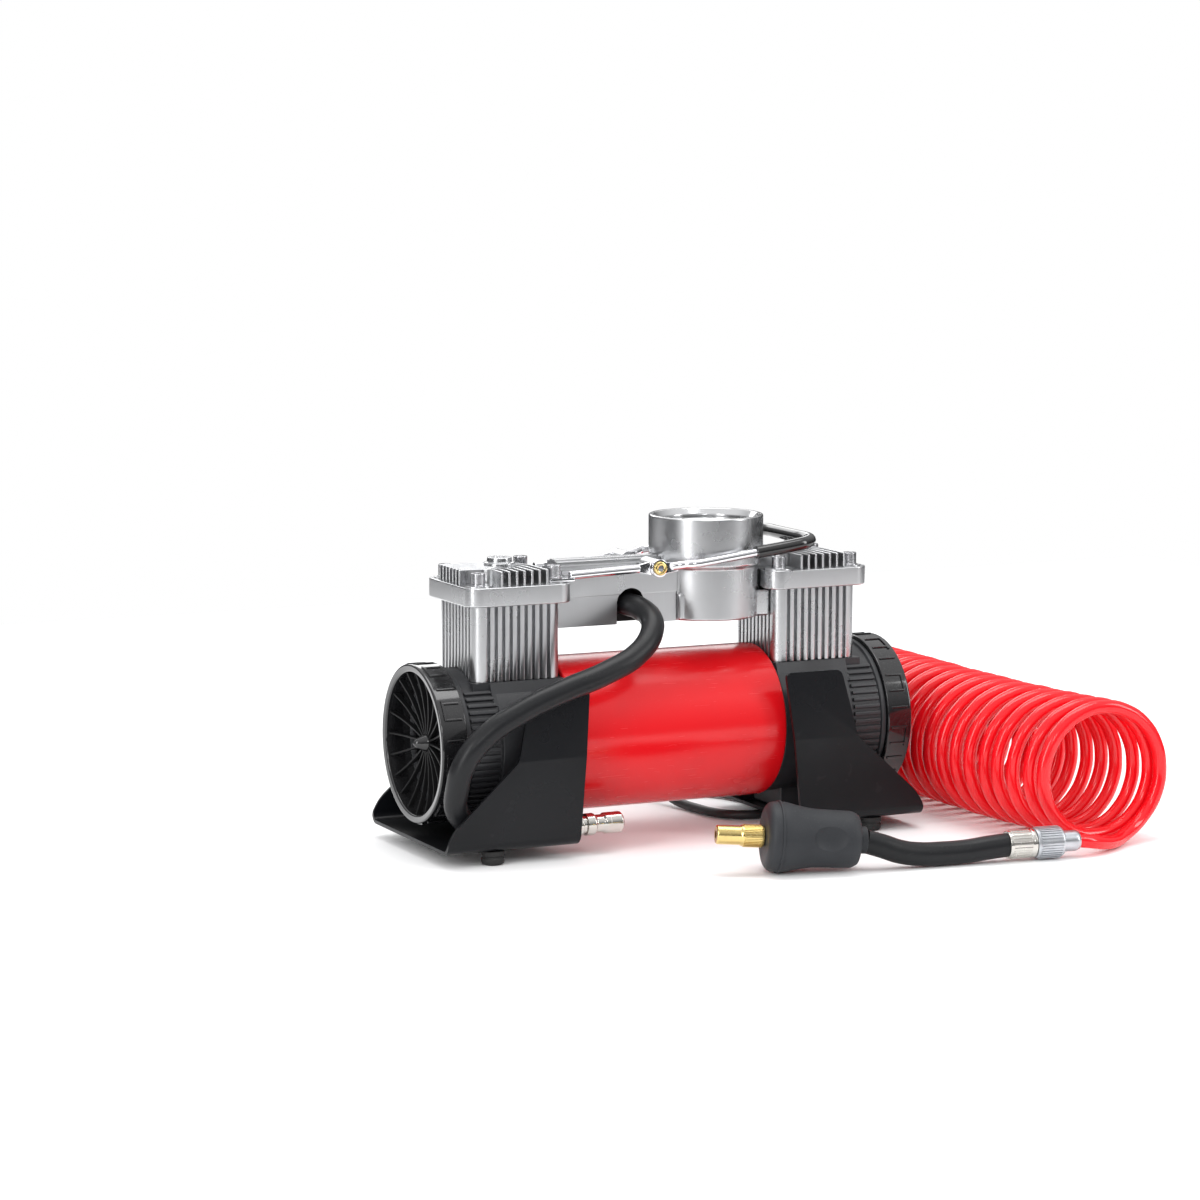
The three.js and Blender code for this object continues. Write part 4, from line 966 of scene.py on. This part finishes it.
screw = socket_screw()
for side in ("left", "right"):
    for i in range(1, 5):
        node = f"{side}_head_screw_{i}"
        low, high = in_mm(node)
        foot_of_head = (low.x + high.x) / 2, (low.y + high.y) / 2, high.z - SCREW_HEAD
        hand_over(copied(screw, (0, 0, 17 * i), foot_of_head), f"{node}_socket", "screw_steel", [node])
bpy.data.objects.remove(screw)

# %% [markdown]
# ## Manifold
# The manifold is one casting: a square lower duct, a proud band at the height of the
# heads and a crown of small steps. Its section is drawn once and pushed along the motor;
# the hose notch is then sunk in the front, and the drum's place is cut from its end.

# %% Manifold
pod_low, pod_high = in_mm("gauge_pod")
POD_X = (pod_low.x + pod_high.x) / 2
POD_R, POD_LOWER_R = pod_high.y, pod_high.y - 2.5
POD_TOP = pod_high.z
BAND_TOP = PLATE_TOP + 2.5
DUCT_LOW = pod_low.z
DUCT_FROM = in_mm("manifold")[0].x
HEAD_EDGE = CYL_X - HEAD_HALF - 0.3
PIVOT_X, PIVOT_Z = -8, PLATE_TOP + 5.3
NOTCH_X, NOTCH_R, NOTCH_Z = -20.6, 8.6, HEAD_Z - 4.5
MANIFOLD_END = 8.8


def manifold():
    right = [(17.5, HEAD_Z + 0.5), (17.5, BAND_TOP)]
    steps = (0, 2.4, 4.6, 6.5, 7.5)
    for k, half in enumerate((14, 10.5, 7, 3.5)):
        right += [(half, BAND_TOP + steps[k]), (half, BAND_TOP + steps[k + 1])]
    section = rounded(right + [(-y, z) for y, z in reversed(right)], 0.55, 2)
    band = straight([(-HEAD_EDGE, y, z) for y, z in section], (MANIFOLD_END + HEAD_EDGE, 0, 0))
    duct = block((DUCT_FROM, -16.7, DUCT_LOW), (MANIFOLD_END, 16.7, HEAD_Z - 0.3))
    middle = block((-HEAD_EDGE, -16.7, HEAD_Z - 2), (MANIFOLD_END, 16.7, HEAD_Z + 3))
    body = combine(combine(band, duct, "UNION"), middle, "UNION")
    for way in (-1, 1):
        boss = placed(post(5.2, 12, 24.5), (-90 * way, 0, 0), (PIVOT_X, 0, PIVOT_Z))
        body = combine(body, boss, "UNION")
    hollow = placed(post(NOTCH_R, 5.5, 22), (90, 0, 0), (NOTCH_X, 0, NOTCH_Z))
    slot = block((NOTCH_X - NOTCH_R, -22, DUCT_LOW - 3), (NOTCH_X + NOTCH_R, -5.5, NOTCH_Z))
    drum = post(POD_R + 0.3, BAND_TOP - 0.3, BAND_TOP + 20, (POD_X, 0), 128)
    lower_drum = post(POD_LOWER_R + 0.3, DUCT_LOW - 1, BAND_TOP, (POD_X, 0), 128)
    for tool in (combine(hollow, slot, "UNION"), drum, lower_drum):
        body = combine(body, tool, "DIFFERENCE")
    return soften(body, 0.4, 2, 40)


piece = hand_over(manifold(), "crowned_manifold", "satin_casting", ["manifold"], angle=40)
# The faces inside the hose notch take the near-black finish: painted shade for the recess.
second_finish(piece, "notch_painted_shade", lambda at, out:
              abs(at.x - NOTCH_X) < NOTCH_R and -16.2 < at.y < -5 and at.z < HEAD_Z + 5)

# %% [markdown]
# ## Gauge drum
# The drum is turned: a narrower lower part, a step, and a wide upper part with a flat lip
# and a polished slope down to the glass. Blocks join it to the manifold on one side and
# to the right-hand head on the other, and a wide bevel makes the casting's soft corners.

# %% Gauge drum
SLOPE_R = POD_R - 5.7
CUP_Z = POD_TOP - 18


def gauge_drum():
    body = lathed([
        (0, DUCT_LOW), (POD_LOWER_R, DUCT_LOW), (POD_LOWER_R, BAND_TOP), (POD_R, BAND_TOP + 1.4),
        (POD_R, POD_TOP), (POD_R - 3, POD_TOP), (SLOPE_R, POD_TOP - 3.4), (SLOPE_R, CUP_Z), (0, CUP_Z),
    ], {1: 1.4, 2: 0.8, 3: 1.2, 4: 1.1, 5: 0.4, 6: 0.5}, 128, closed=False)
    body = placed(body, move=(POD_X, 0, 0))
    start = MANIFOLD_END + 0.3
    collar = soften(block((start, -20, DUCT_LOW), (POD_X, 20, HEAD_Z)), 2.2, 4)
    neck = soften(block((start, -17.5, HEAD_Z - 3), (POD_X, 17.5, BAND_TOP)), 0.8, 3)
    link = soften(block((POD_X, -20, DUCT_LOW), (CYL_X - CYL_HALF - 0.3, 20, HEAD_Z - 1)), 1.6, 3)
    for tool in (collar, neck, link):
        body = combine(body, tool, "UNION")
    trim = block((HEAD_EDGE, -50, HEAD_Z - 0.3), (CYL_X, 50, FIN_TOP + 0.3))
    return soften(combine(body, trim, "DIFFERENCE"), 0.7, 3, 40)


piece = hand_over(gauge_drum(), "gauge_drum", "satin_casting", ["gauge_pod"], angle=40)
second_finish(piece, "bright_casting", lambda at, out: at.z > POD_TOP - 3.6 and out.z > 0.2)

# %% Gauge case and glass
pod_middle = (POD_X, 0, 0)
case = lathed([
    (0, CUP_Z + 0.3), (27.5, CUP_Z + 0.3), (27.5, CUP_Z + 12), (26, CUP_Z + 12), (26, CUP_Z + 6),
    (0, CUP_Z + 6),
], {1: 0.5, 2: 0.3, 3: 0.5}, 96, closed=False)
hand_over(placed(case, move=pod_middle), "gauge_cup", "gauge_black", ["gauge_case"])
glass = turned([(radius, CUP_Z + up) for radius, up in (
    (0, 12.3), (26.7, 12.3), (26.7, 13), (26.3, 13.3), (20, 13.65), (10, 13.9), (0, 14))], 96)
hand_over(placed(glass, move=pod_middle), "gauge_glass", "clear_lens", ["gauge_lens"])

# %% [markdown]
# ## Dial and pointer
# The dial is printed, so its marks stand only a tenth of a millimetre proud. The scale
# runs from 0 to 10 bar over 270 degrees, starting at the lower left, and each number is
# a text object made into a mesh and stood the right way up.

# %% Dial
BAR_MAX, PER_BAR, SCALE_FROM, SCALE_SWEEP = 10, 5, -135, 270
NUMBER_R = 13.6


def scale_angle(bar):
    return SCALE_FROM - SCALE_SWEEP * bar / BAR_MAX


def dial():
    face_z = CUP_Z + 7.2
    plate = turned([(1.5, CUP_Z + 6.3), (25.7, CUP_Z + 6.3), (25.7, face_z), (1.5, face_z)], 96, closed=True)
    plate.data.materials.append(finishes["dial_face"])
    long_mark = block((17.6, -0.3, face_z - 0.1), (23.4, 0.3, face_z + 0.1))
    short_mark = block((20.6, -0.14, face_z - 0.1), (23.4, 0.14, face_z + 0.1))
    steps = range(BAR_MAX * PER_BAR + 1)
    marks = [*spread_out(long_mark, [(0, 0, scale_angle(k / PER_BAR)) for k in steps if k % PER_BAR == 0]),
             *spread_out(short_mark, [(0, 0, scale_angle(k / PER_BAR)) for k in steps if k % PER_BAR])]
    for bar in range(0, BAR_MAX + 1, 2):
        clear_selection()
        bpy.ops.object.text_add()
        number = bpy.context.object
        number.data.body = str(bar)
        number.data.size = 5 * MM
        number.data.extrude = 0.1 * MM
        number.data.align_x = "CENTER"
        number.data.align_y = "CENTER"
        bpy.ops.object.convert(target="MESH")
        angle = math.radians(scale_angle(bar))
        spot = NUMBER_R * math.cos(angle), NUMBER_R * math.sin(angle), face_z
        marks.append(placed(bpy.context.object, move=spot))
    for mark in marks:
        mark.data.materials.clear()
        mark.data.materials.append(finishes["dial_white"])
    return placed(joined([plate, *marks]), move=pod_middle)


hand_over(dial(), "printed_dial", "dial_face", ["gauge_dial"], paint=False)


# %% Pointer
def pointer():
    arm = soften(straight([(x, y, CUP_Z + 8.4) for x, y in (
        (-7, -1.1), (6, -0.75), (20, -0.3), (20, 0.3), (6, 0.75), (-7, 1.1))], (0, 0, 0.7)), 0.12, 1)
    weight = soften(post(1.9, CUP_Z + 8.35, CUP_Z + 9.15, (-6, 0), 24), 0.15, 1)
    spindle = post(1.2, CUP_Z + 6.4, CUP_Z + 9, sides=20)
    hub = lathed([(0, CUP_Z + 8), (3, CUP_Z + 8), (3, CUP_Z + 9.2), (0, CUP_Z + 9.6)],
                 {1: 0.2, 2: 0.5}, 40, closed=False)
    return placed(joined([arm, weight, spindle, hub]), (0, 0, SCALE_FROM), pod_middle)


hand_over(pointer(), "gauge_pointer_arm", "needle_red", ["gauge_needle"], "needle")

# %% [markdown]
# ## Brackets and feet
# Each bracket is one strip of 2 mm steel, bent up on both sides and folded in again
# towards the crankcase. Its bent section is pushed along the motor and then trimmed
# with a sloping side outline, which is how a sheet part gets both shapes at once.

# %% Bracket
bracket_low, bracket_high = in_mm("right_bracket")
BEND_Y = bracket_high.y
SHEET, BEND_R = 2, 6
BASE_Z = bracket_low.z
FOLD_Z = AXIS_Z - 5
TAB_TOP = bracket_high.z
TAB_Y = BEND_Y - 5.5


def half_section(inset):
    """From the middle of the base, round the bend and up to the tab, as (y, z) points."""
    radius = BEND_R - inset
    arc = [(BEND_Y - BEND_R + radius * math.sin(a), BASE_Z + BEND_R - radius * math.cos(a))
           for a in (math.radians(90 * k / 8) for k in range(9))]
    return arc + [(BEND_Y - 0.8 - inset, FOLD_Z), (TAB_Y - inset, TAB_TOP + 2)]


def bracket():
    outer, inner = half_section(0), half_section(SHEET)
    mirrored = [(-y, z) for y, z in reversed(outer)]
    section = mirrored + outer + inner[::-1] + [(-y, z) for y, z in inner]
    sheet = straight([(bracket_low.x - 4, y, z) for y, z in section],
                     (bracket_high.x - bracket_low.x + 8, 0, 0))
    far = bracket_high.x
    side = rounded([
        (CAN_END + 4, BASE_Z - 2), (far, BASE_Z - 2), (far, BASE_Z + 6), (far - 4.5, BASE_Z + 14),
        (CYL_X + 12.5, FOLD_Z), (CYL_X + 3.5, TAB_TOP), (CAN_END - 4.5, TAB_TOP), (CAN_END - 0.5, FOLD_Z),
    ], {2: 3, 3: 4, 4: 3, 5: 4, 6: 4, 7: 3})
    trim = straight([(x, -BEND_Y - 5, z) for x, z in side], (0, 2 * BEND_Y + 10, 0))
    return soften(combine(sheet, trim, "INTERSECT"), 0.35, 2, 40)


hand_over_both(bracket(), "bent_bracket", "bracket_black", "bracket", 30)

# %% Rubber feet
foot = lathed([
    (0, 0), (5.6, 0), (6.5, 1.2), (6.5, 3.6), (5.7, 4.1), (5.7, 4.7), (6.5, 5.2), (6.5, 7.7), (0, 7.7),
], {1: 0.5, 2: 0.6, 3: 0.3, 4: 0.2, 5: 0.2, 6: 0.3, 7: 0.3}, 48, closed=False)
for side in ("left", "right"):
    for row in ("front", "rear"):
        node = f"{side}_{row}_foot"
        low, high = in_mm(node)
        piece = copied(foot, move=((low.x + high.x) / 2, (low.y + high.y) / 2, 0))
        hand_over(piece, f"{side}_{row}_rubber_foot", "foot_rubber", [node])
bpy.data.objects.remove(foot)

# %% [markdown]
# ## Carrying handle
# Two fixed stays reach from the left-hand head screws to the pivots. The handle proper
# is one bent wire with a flat eye at each end and a glossy sleeve over its far part, and
# a hollow brass rivet holds each pair of eyes together.

# %% Helpers for bars and eyes
STAY_Y, BAIL_Y, EYE_T, EYE_R, WIRE_R = 24.8, 27.6, 2.5, 5.2, 2.5


def laid(obj, start, end):
    """Turns obj, made along +Z from the origin, to run from start towards end."""
    activate(obj)
    obj.rotation_euler = (Vector(end) - Vector(start)).to_track_quat("Z", "X").to_euler()
    obj.location = Vector(start) * MM
    bpy.ops.object.transform_apply(location=True, rotation=True, scale=True)
    return obj


def flat_eye(y, hole, way):
    """A flat ring at the pivot whose inner side is at y, on the front (-1) or the rear (1)."""
    ring = lathed([(hole, y), (EYE_R, y), (EYE_R, y + EYE_T), (hole, y + EYE_T)], 0.4, 48, 3)
    return placed(ring, (-90 * way, 0, 0), (PIVOT_X, 0, PIVOT_Z))


def swept(name, points, radius, material):
    """A round bar along points, as a mesh with softened ends."""
    activate(cord_curve(name, points, radius * MM, material, 6)[0])
    bpy.ops.object.convert(target="MESH")
    return soften(bpy.context.object, 0.5, 3, 60)


# %% Fixed stays and rivets
def stay(way):
    x, y, z = -CYL_X + SCREW_AT, way * SCREW_AT, PLATE_TOP + 0.3
    tab = straight([(px, y + py, z) for px, py in rounded(
        [(x - 5, -4), (x + 12, -4), (x + 12, 4), (x - 5, 4)],
        {0: 3.6, 1: 1.5, 2: 1.5, 3: 3.6}, 6)], (0, 0, 2))
    eye_y = way * (STAY_Y + EYE_T / 2)
    start, end = (x + 9, y + way, z + 3.1), (PIVOT_X - 5.4, eye_y - way * 1.3, PIVOT_Z)
    length = (Vector(end) - Vector(start)).length
    bar = lathed([(0, 0), (WIRE_R, 0), (WIRE_R, length), (0, length)], {1: 1.6, 2: 0.8}, 32, 5, False)
    keyhole = rounded([(-11.5, -2.3), (-4, -4), (-4, 4), (-11.5, 2.3)], 0.5, 2)
    blade = straight([(PIVOT_X + px, way * STAY_Y, PIVOT_Z + pz) for px, pz in keyhole], (0, way * EYE_T, 0))
    return joined([soften(tab, 0.4), laid(bar, start, end), soften(blade, 0.4), flat_eye(STAY_Y, 2.9, way)])


def rivet(way):
    head = BAIL_Y + EYE_T + 0.3
    body = lathed([
        (1.7, 21.5), (2.6, 21.5), (2.6, head), (4, head), (4, head + 0.8), (2.9, head + 1.3),
        (1.7, head + 0.9),
    ], {3: 0.2, 4: 0.4, 5: 0.5, 6: 0.3}, 48)
    return placed(body, (-90 * way, 0, 0), (PIVOT_X, 0, PIVOT_Z))


for row, way in (("front", -1), ("rear", 1)):
    hand_over(stay(way), f"{row}_stay", "polished_chrome", [f"handle_stay_{row}"])
    piece = hand_over(rivet(way), f"{row}_hollow_rivet", "brass", [f"handle_rivet_{row}"])
    second_finish(piece, "polished_chrome",
                  lambda at, out: math.hypot(at.x - PIVOT_X, at.z - PIVOT_Z) < 1.75)

# %% Folding bail and its sleeve
ARM_Y, CORNER, BAR_X, GRIP_R, SLEEVE_FROM = POD_R + 4, 13, CYL_X - 5.5, 3.8, 5
bail_top = CAP_TOP + GRIP_R + 0.3


def bail_route():
    half = [(0, 30.25), (5, 32.25), (11, ARM_Y - 1), (18, ARM_Y), (34, ARM_Y), (50, ARM_Y)]
    for k in range(5):
        angle = math.radians(90 * k / 4)
        half.append((BAR_X - CORNER + CORNER * math.sin(angle), ARM_Y - CORNER * (1 - math.cos(angle))))
    half.append((BAR_X, ARM_Y / 3))
    rise = (bail_top - PIVOT_Z) / (BAR_X - PIVOT_X)
    front = [(x, -y, PIVOT_Z + (x - PIVOT_X) * rise) for x, y in half]
    return front + [(x, -y, z) for x, y, z in reversed(front)]


route = bail_route()
bail_parts = [swept("bail_wire", route, WIRE_R, "polished_chrome")]
for way in (-1, 1):
    neck = rounded([(3, -3.4), (12, -2.2), (12, 3.2), (3, 3.4)], 0.6, 2)
    blade = straight([(PIVOT_X + x, way * BAIL_Y, PIVOT_Z + z) for x, z in neck], (0, way * EYE_T, 0))
    bail_parts += [soften(blade, 0.5, 3), flat_eye(BAIL_Y, 2.7, way)]
hand_over(joined(bail_parts), "folding_bail", "polished_chrome", ["handle_bail"], "handle", 50)
sleeve = swept("sleeve", route[SLEEVE_FROM:-SLEEVE_FROM], GRIP_R, "grip_black")
hand_over(sleeve, "grip_sleeve", "grip_black", ["handle_grip"], "handle", 50)

# %% [markdown]
# ## Fittings on the hoses and the lead
# Every fitting is turned metal, so each is a profile spun round its axis. What fingers
# hold is ribbed: one small bar is modelled and copied round. The strain relief and the
# plug are moulded, with rings and ribs of their own.

# %% Ribs round an axis
def ribs(count, low, high, inner, outer, width, soft=0.25):
    """Small bars along Z, evenly round it, between two radii and two heights."""
    bar = soften(block((inner, -width / 2, low), (outer, width / 2, high)), soft, 2)
    return spread_out(bar, [(0, 0, i * 360 / count) for i in range(count)])


# %% Outlet nipple
nipple = lathed([
    (2.6, -1.5), (5.9, -1.5), (6.2, 0), (6.2, 6.6), (5.1, 7), (5.1, 9), (6.4, 9.4), (6.4, 14.4), (5.2, 15.4),
    (5.2, 20), (6.1, 21.2), (6.1, 31.2), (5.4, 32), (2.6, 32),
], {3: 0.3, 6: 0.3, 7: 0.6, 8: 0.6, 9: 0.5, 10: 0.4, 11: 0.5}, 64)
nipple = placed(nipple, ALONG_X, left_end("outlet_nipple"))
hand_over(nipple, "hose_nipple", "nickel", ["outlet_nipple"])

# %% Strain relief on the can
gland_low, gland_high = in_mm("lead_gland")
rings = []
for k in range(5):
    at, radius = 5 + k * 3.3, 5.6 - k * 0.3
    rings += [(radius, at), (radius, at + 1.9), (radius - 1, at + 2.1), (radius - 1.1, at + 3.1)]
relief = lathed([(2.6, 0), (7, 0), (7, 2.6), (6, 3.6), *rings, (3.7, 23.6), (2.6, 23.6)],
                {1: 0.4, 2: 0.8, 3: 0.6, 24: 0.4}, 48, 3)
relief_at = ((gland_low.x + gland_high.x) / 2, gland_low.y, (gland_low.z + gland_high.z) / 2)
hand_over(placed(relief, (-90, 0, 0), relief_at), "strain_relief", "lead_black", ["lead_gland"])

# %% A strap round the coil
STRAP_ANGLE, STRAP_W = 100, 9


def coil_strap():
    inner, outer = COIL_IN - 3.4, COIL_OUT + 3.4
    section = rounded([(inner, 0.75), (outer, 0.75), (outer, 23), (inner, 23)], 3, 5)
    loop = straight([(x, -STRAP_W / 2, z) for x, z in section], (0, STRAP_W, 0))
    cover = rounded([(inner - 0.7, 0.1), (outer + 0.7, 0.1), (outer + 0.7, 23.7), (inner - 0.7, 23.7)],
                    3.4, 5)
    band = straight([(x, -STRAP_W / 2 + 0.01, z) for x, z in cover], (0, STRAP_W - 0.02, 0))
    buckle = soften(block((inner + 6, -STRAP_W / 2 - 1, 23.2), (inner + 15, STRAP_W / 2 + 1, 24.6)), 0.5, 3)
    band = combine(band, loop, "DIFFERENCE")
    return placed(joined([band, buckle]), (0, 0, STRAP_ANGLE), (*COIL_AT, 0))


hand_over(coil_strap(), "coil_strap", "grip_black", [])

# %% Power plug
def power_plug():
    shell = lathed([
        (2.5, -5), (4, -5), (4.4, 0), (8, 8), (12.3, 22), (12.8, 46), (10.4, 48), (10.4, 76), (6.6, 79),
        (2.5, 79),
    ], {1: 0.4, 3: 3, 4: 4, 5: 1.2, 6: 0.4, 7: 1.2, 8: 0.6}, 56, 5)
    body = joined([shell, *ribs(22, 25, 43, 12, 13, 1.3)])
    body.data.materials.append(finishes["lead_black"])
    tip = lathed([(0, 76), (5, 76), (5, 80), (4, 81), (4, 84), (2.4, 87), (0, 87)],
                 {2: 0.6, 4: 0.6, 5: 0.8}, 32, 3, False)
    bow = [(52, 9.6), (54, 11.2), (61, 12.1), (68, 11.2), (70, 9.6)]
    spring = soften(straight([(out, -2.6, up) for up, out in bow], (0, 5.2, 0)), 0.4, 2)
    metal = joined([tip, *spread_out(spring, [(0, 0, 90), (0, 0, 270)])])
    metal.data.materials.append(finishes["nickel"])
    return placed(joined([body, metal]), ALONG_X, left_end("power_plug"))


hand_over(power_plug(), "socket_plug", "lead_black", ["power_plug"], paint=False)

# %% Coupler on the spiral hose
coupler = lathed([
    (4, -2), (5.4, -2), (7, 0), (7, 6), (9.4, 8), (9.4, 10.5), (11.2, 11.5), (11.2, 33), (9.5, 35),
    (9.5, 44), (4, 44),
], {1: 0.5, 2: 0.8, 3: 0.5, 4: 0.5, 5: 0.4, 6: 0.6, 7: 0.8, 8: 0.5, 9: 0.7, 10: 0.4}, 64, 3)
coupler = joined([coupler, *ribs(30, 14, 30, 10.6, 11.6, 1.1)])
hand_over(placed(coupler, ALONG_X, left_end("hose_coupler")), "quick_coupler", "nickel", ["hose_coupler"],
          "tyre_hose")

# %% Crimped ferrule and swivel nut
FERRULE_AT = (146.8, -163.6, 9.5)
FERRULE_TO = (166.64, -166.1, 9.5)
ferrule = lathed([
    (6.6, -2.4), (7.7, -2.4), (7.9, 0), (7.9, 11.6), (8.2, 12.2), (8.2, 14), (4.5, 14), (4.5, 0), (6.6, 0),
], {1: 0.4, 4: 0.2, 5: 0.4}, 64, 3)
ferrule = laid(joined([ferrule, *ribs(26, -0.6, 11, 7.2, 8.2, 1.1, 0.4)]), FERRULE_AT, FERRULE_TO)
hand_over(ferrule, "crimped_ferrule", "nickel", ["whip_ferrule"], "tyre_hose")
nut = lathed([
    (2.5, 14.3), (8.4, 14.3), (8.7, 15.4), (8.7, 30), (8.2, 31), (6, 31.4), (6, 40), (5, 42), (4, 42),
    (4, 38), (2.5, 38),
], {1: 0.4, 3: 0.5, 4: 0.4, 5: 0.5, 6: 0.8, 7: 0.4}, 64, 3)
nut = laid(joined([nut, *ribs(34, 16.2, 29.4, 8.2, 9.2, 0.95)]), FERRULE_AT, FERRULE_TO)
hand_over(nut, "serrated_nut", "zinc", ["swivel_nut"], "tyre_hose")

# %% [markdown]
# ## Air chuck
# The chuck is a stout rubber-covered body with a brass nose that presses on the valve.
# The body is turned, with a raised rim at the front; a shallow dish for the thumb is
# taken out of its side, and a short neck holds the hose.

# %% Chuck body
CHUCK_AT, CHUCK_TO = (3, -133.5, 20.9), (60.5, -150.5, 16.9)
DISH_TURN = 80


def chuck_body():
    body = lathed([
        (0, 6), (4.4, 6), (4.4, 2.6), (15.6, 2.6), (19.2, 5), (20, 12.5), (17.6, 22), (16.3, 31), (16.1, 43),
        (15.9, 52), (13.8, 55.6), (7.6, 56.2), (7.6, 60.6), (6.4, 60.6), (6.4, 55), (0, 55),
    ], {2: 0.6, 3: 2.5, 4: 3.5, 5: 4, 6: 4, 7: 4, 9: 2, 10: 1, 11: 0.8, 12: 0.6}, 96, 5, False)
    ridge = lathed([(18.4, 9.4), (20.4, 9.8), (20.4, 11), (18.4, 11.4)], 0.3, 96, 2)
    clear_selection()
    bpy.ops.mesh.primitive_uv_sphere_add(segments=48, ring_count=24, radius=10 * MM)
    dish = bpy.context.object
    dish.scale = (0.62, 1, 1.1)
    dish = placed(placed(dish, move=(19.2, 0, 38)), (0, 0, DISH_TURN))
    body = combine(body, dish, "DIFFERENCE")
    return laid(joined([soften(body, 0.5, 3, 40), ridge]), CHUCK_AT, CHUCK_TO)


hand_over(chuck_body(), "chuck_grip", "chuck_rubber", ["chuck_body"], "tyre_hose", 45)

# %% Brass nose
nose = lathed([
    (2.2, -24.6), (4.8, -24.6), (5.4, -23.8), (5.4, -11), (6, -10.2), (6, 2.3), (4, 2.3), (4, 5.5),
    (2.2, 5.5),
], {1: 0.3, 2: 0.4, 3: 0.4, 4: 0.4, 5: 0.5}, 64, 3)
nose = laid(joined([nose, *ribs(36, -9.2, 1.4, 5.6, 6.4, 0.6, 0.15)]), CHUCK_AT, CHUCK_TO)
hand_over(nose, "brass_nose", "brass", ["chuck_nose"], "chuck_tip")

# %% [markdown]
# ## Working parts inside
# The magnets, armature, shaft, bearings, cranks, pistons and valve plates keep the
# frame's own shapes, because nothing but their finish would be seen. Each takes the
# finish of its slot.

# %% Finishes for the frame's own pieces
slots = {part["node"]: part["material_slot"] for part in frame["record"]["subparts"]}
for node, obj in frame["nodes"].items():
    obj.data.materials.clear()
    obj.data.materials.append(finishes[slots[node]])
print("frame pieces finished:", len(slots))

# %% [markdown]
# ## What each cord is
# Each cord is tied to its body, and the frame's own pieces for it are hidden.
# The outlet hose ends on the nipple at the stand, the lead ends in its plug, and the
# loose tyre hose has the chuck at one end and the coupler at the other.

# %% Cords on their bodies
cords = (
    (outlet_hose, "compressor", ["outlet_hose"], "hose_rubber"),
    (power_lead, "compressor", ["power_lead", "power_lead_coil"], "lead_black"),
    (whip_hose, "tyre_hose", ["whip_hose"], "hose_rubber"),
    (spiral_hose, "tyre_hose", ["spiral_hose"], "red_tube"),
)
for obj, body, nodes, slot in cords:
    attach(obj, body)
    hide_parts(*nodes)


# %% Size of what is drawn
low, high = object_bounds()
print("visual box from", tuple(low), "to", tuple(high))
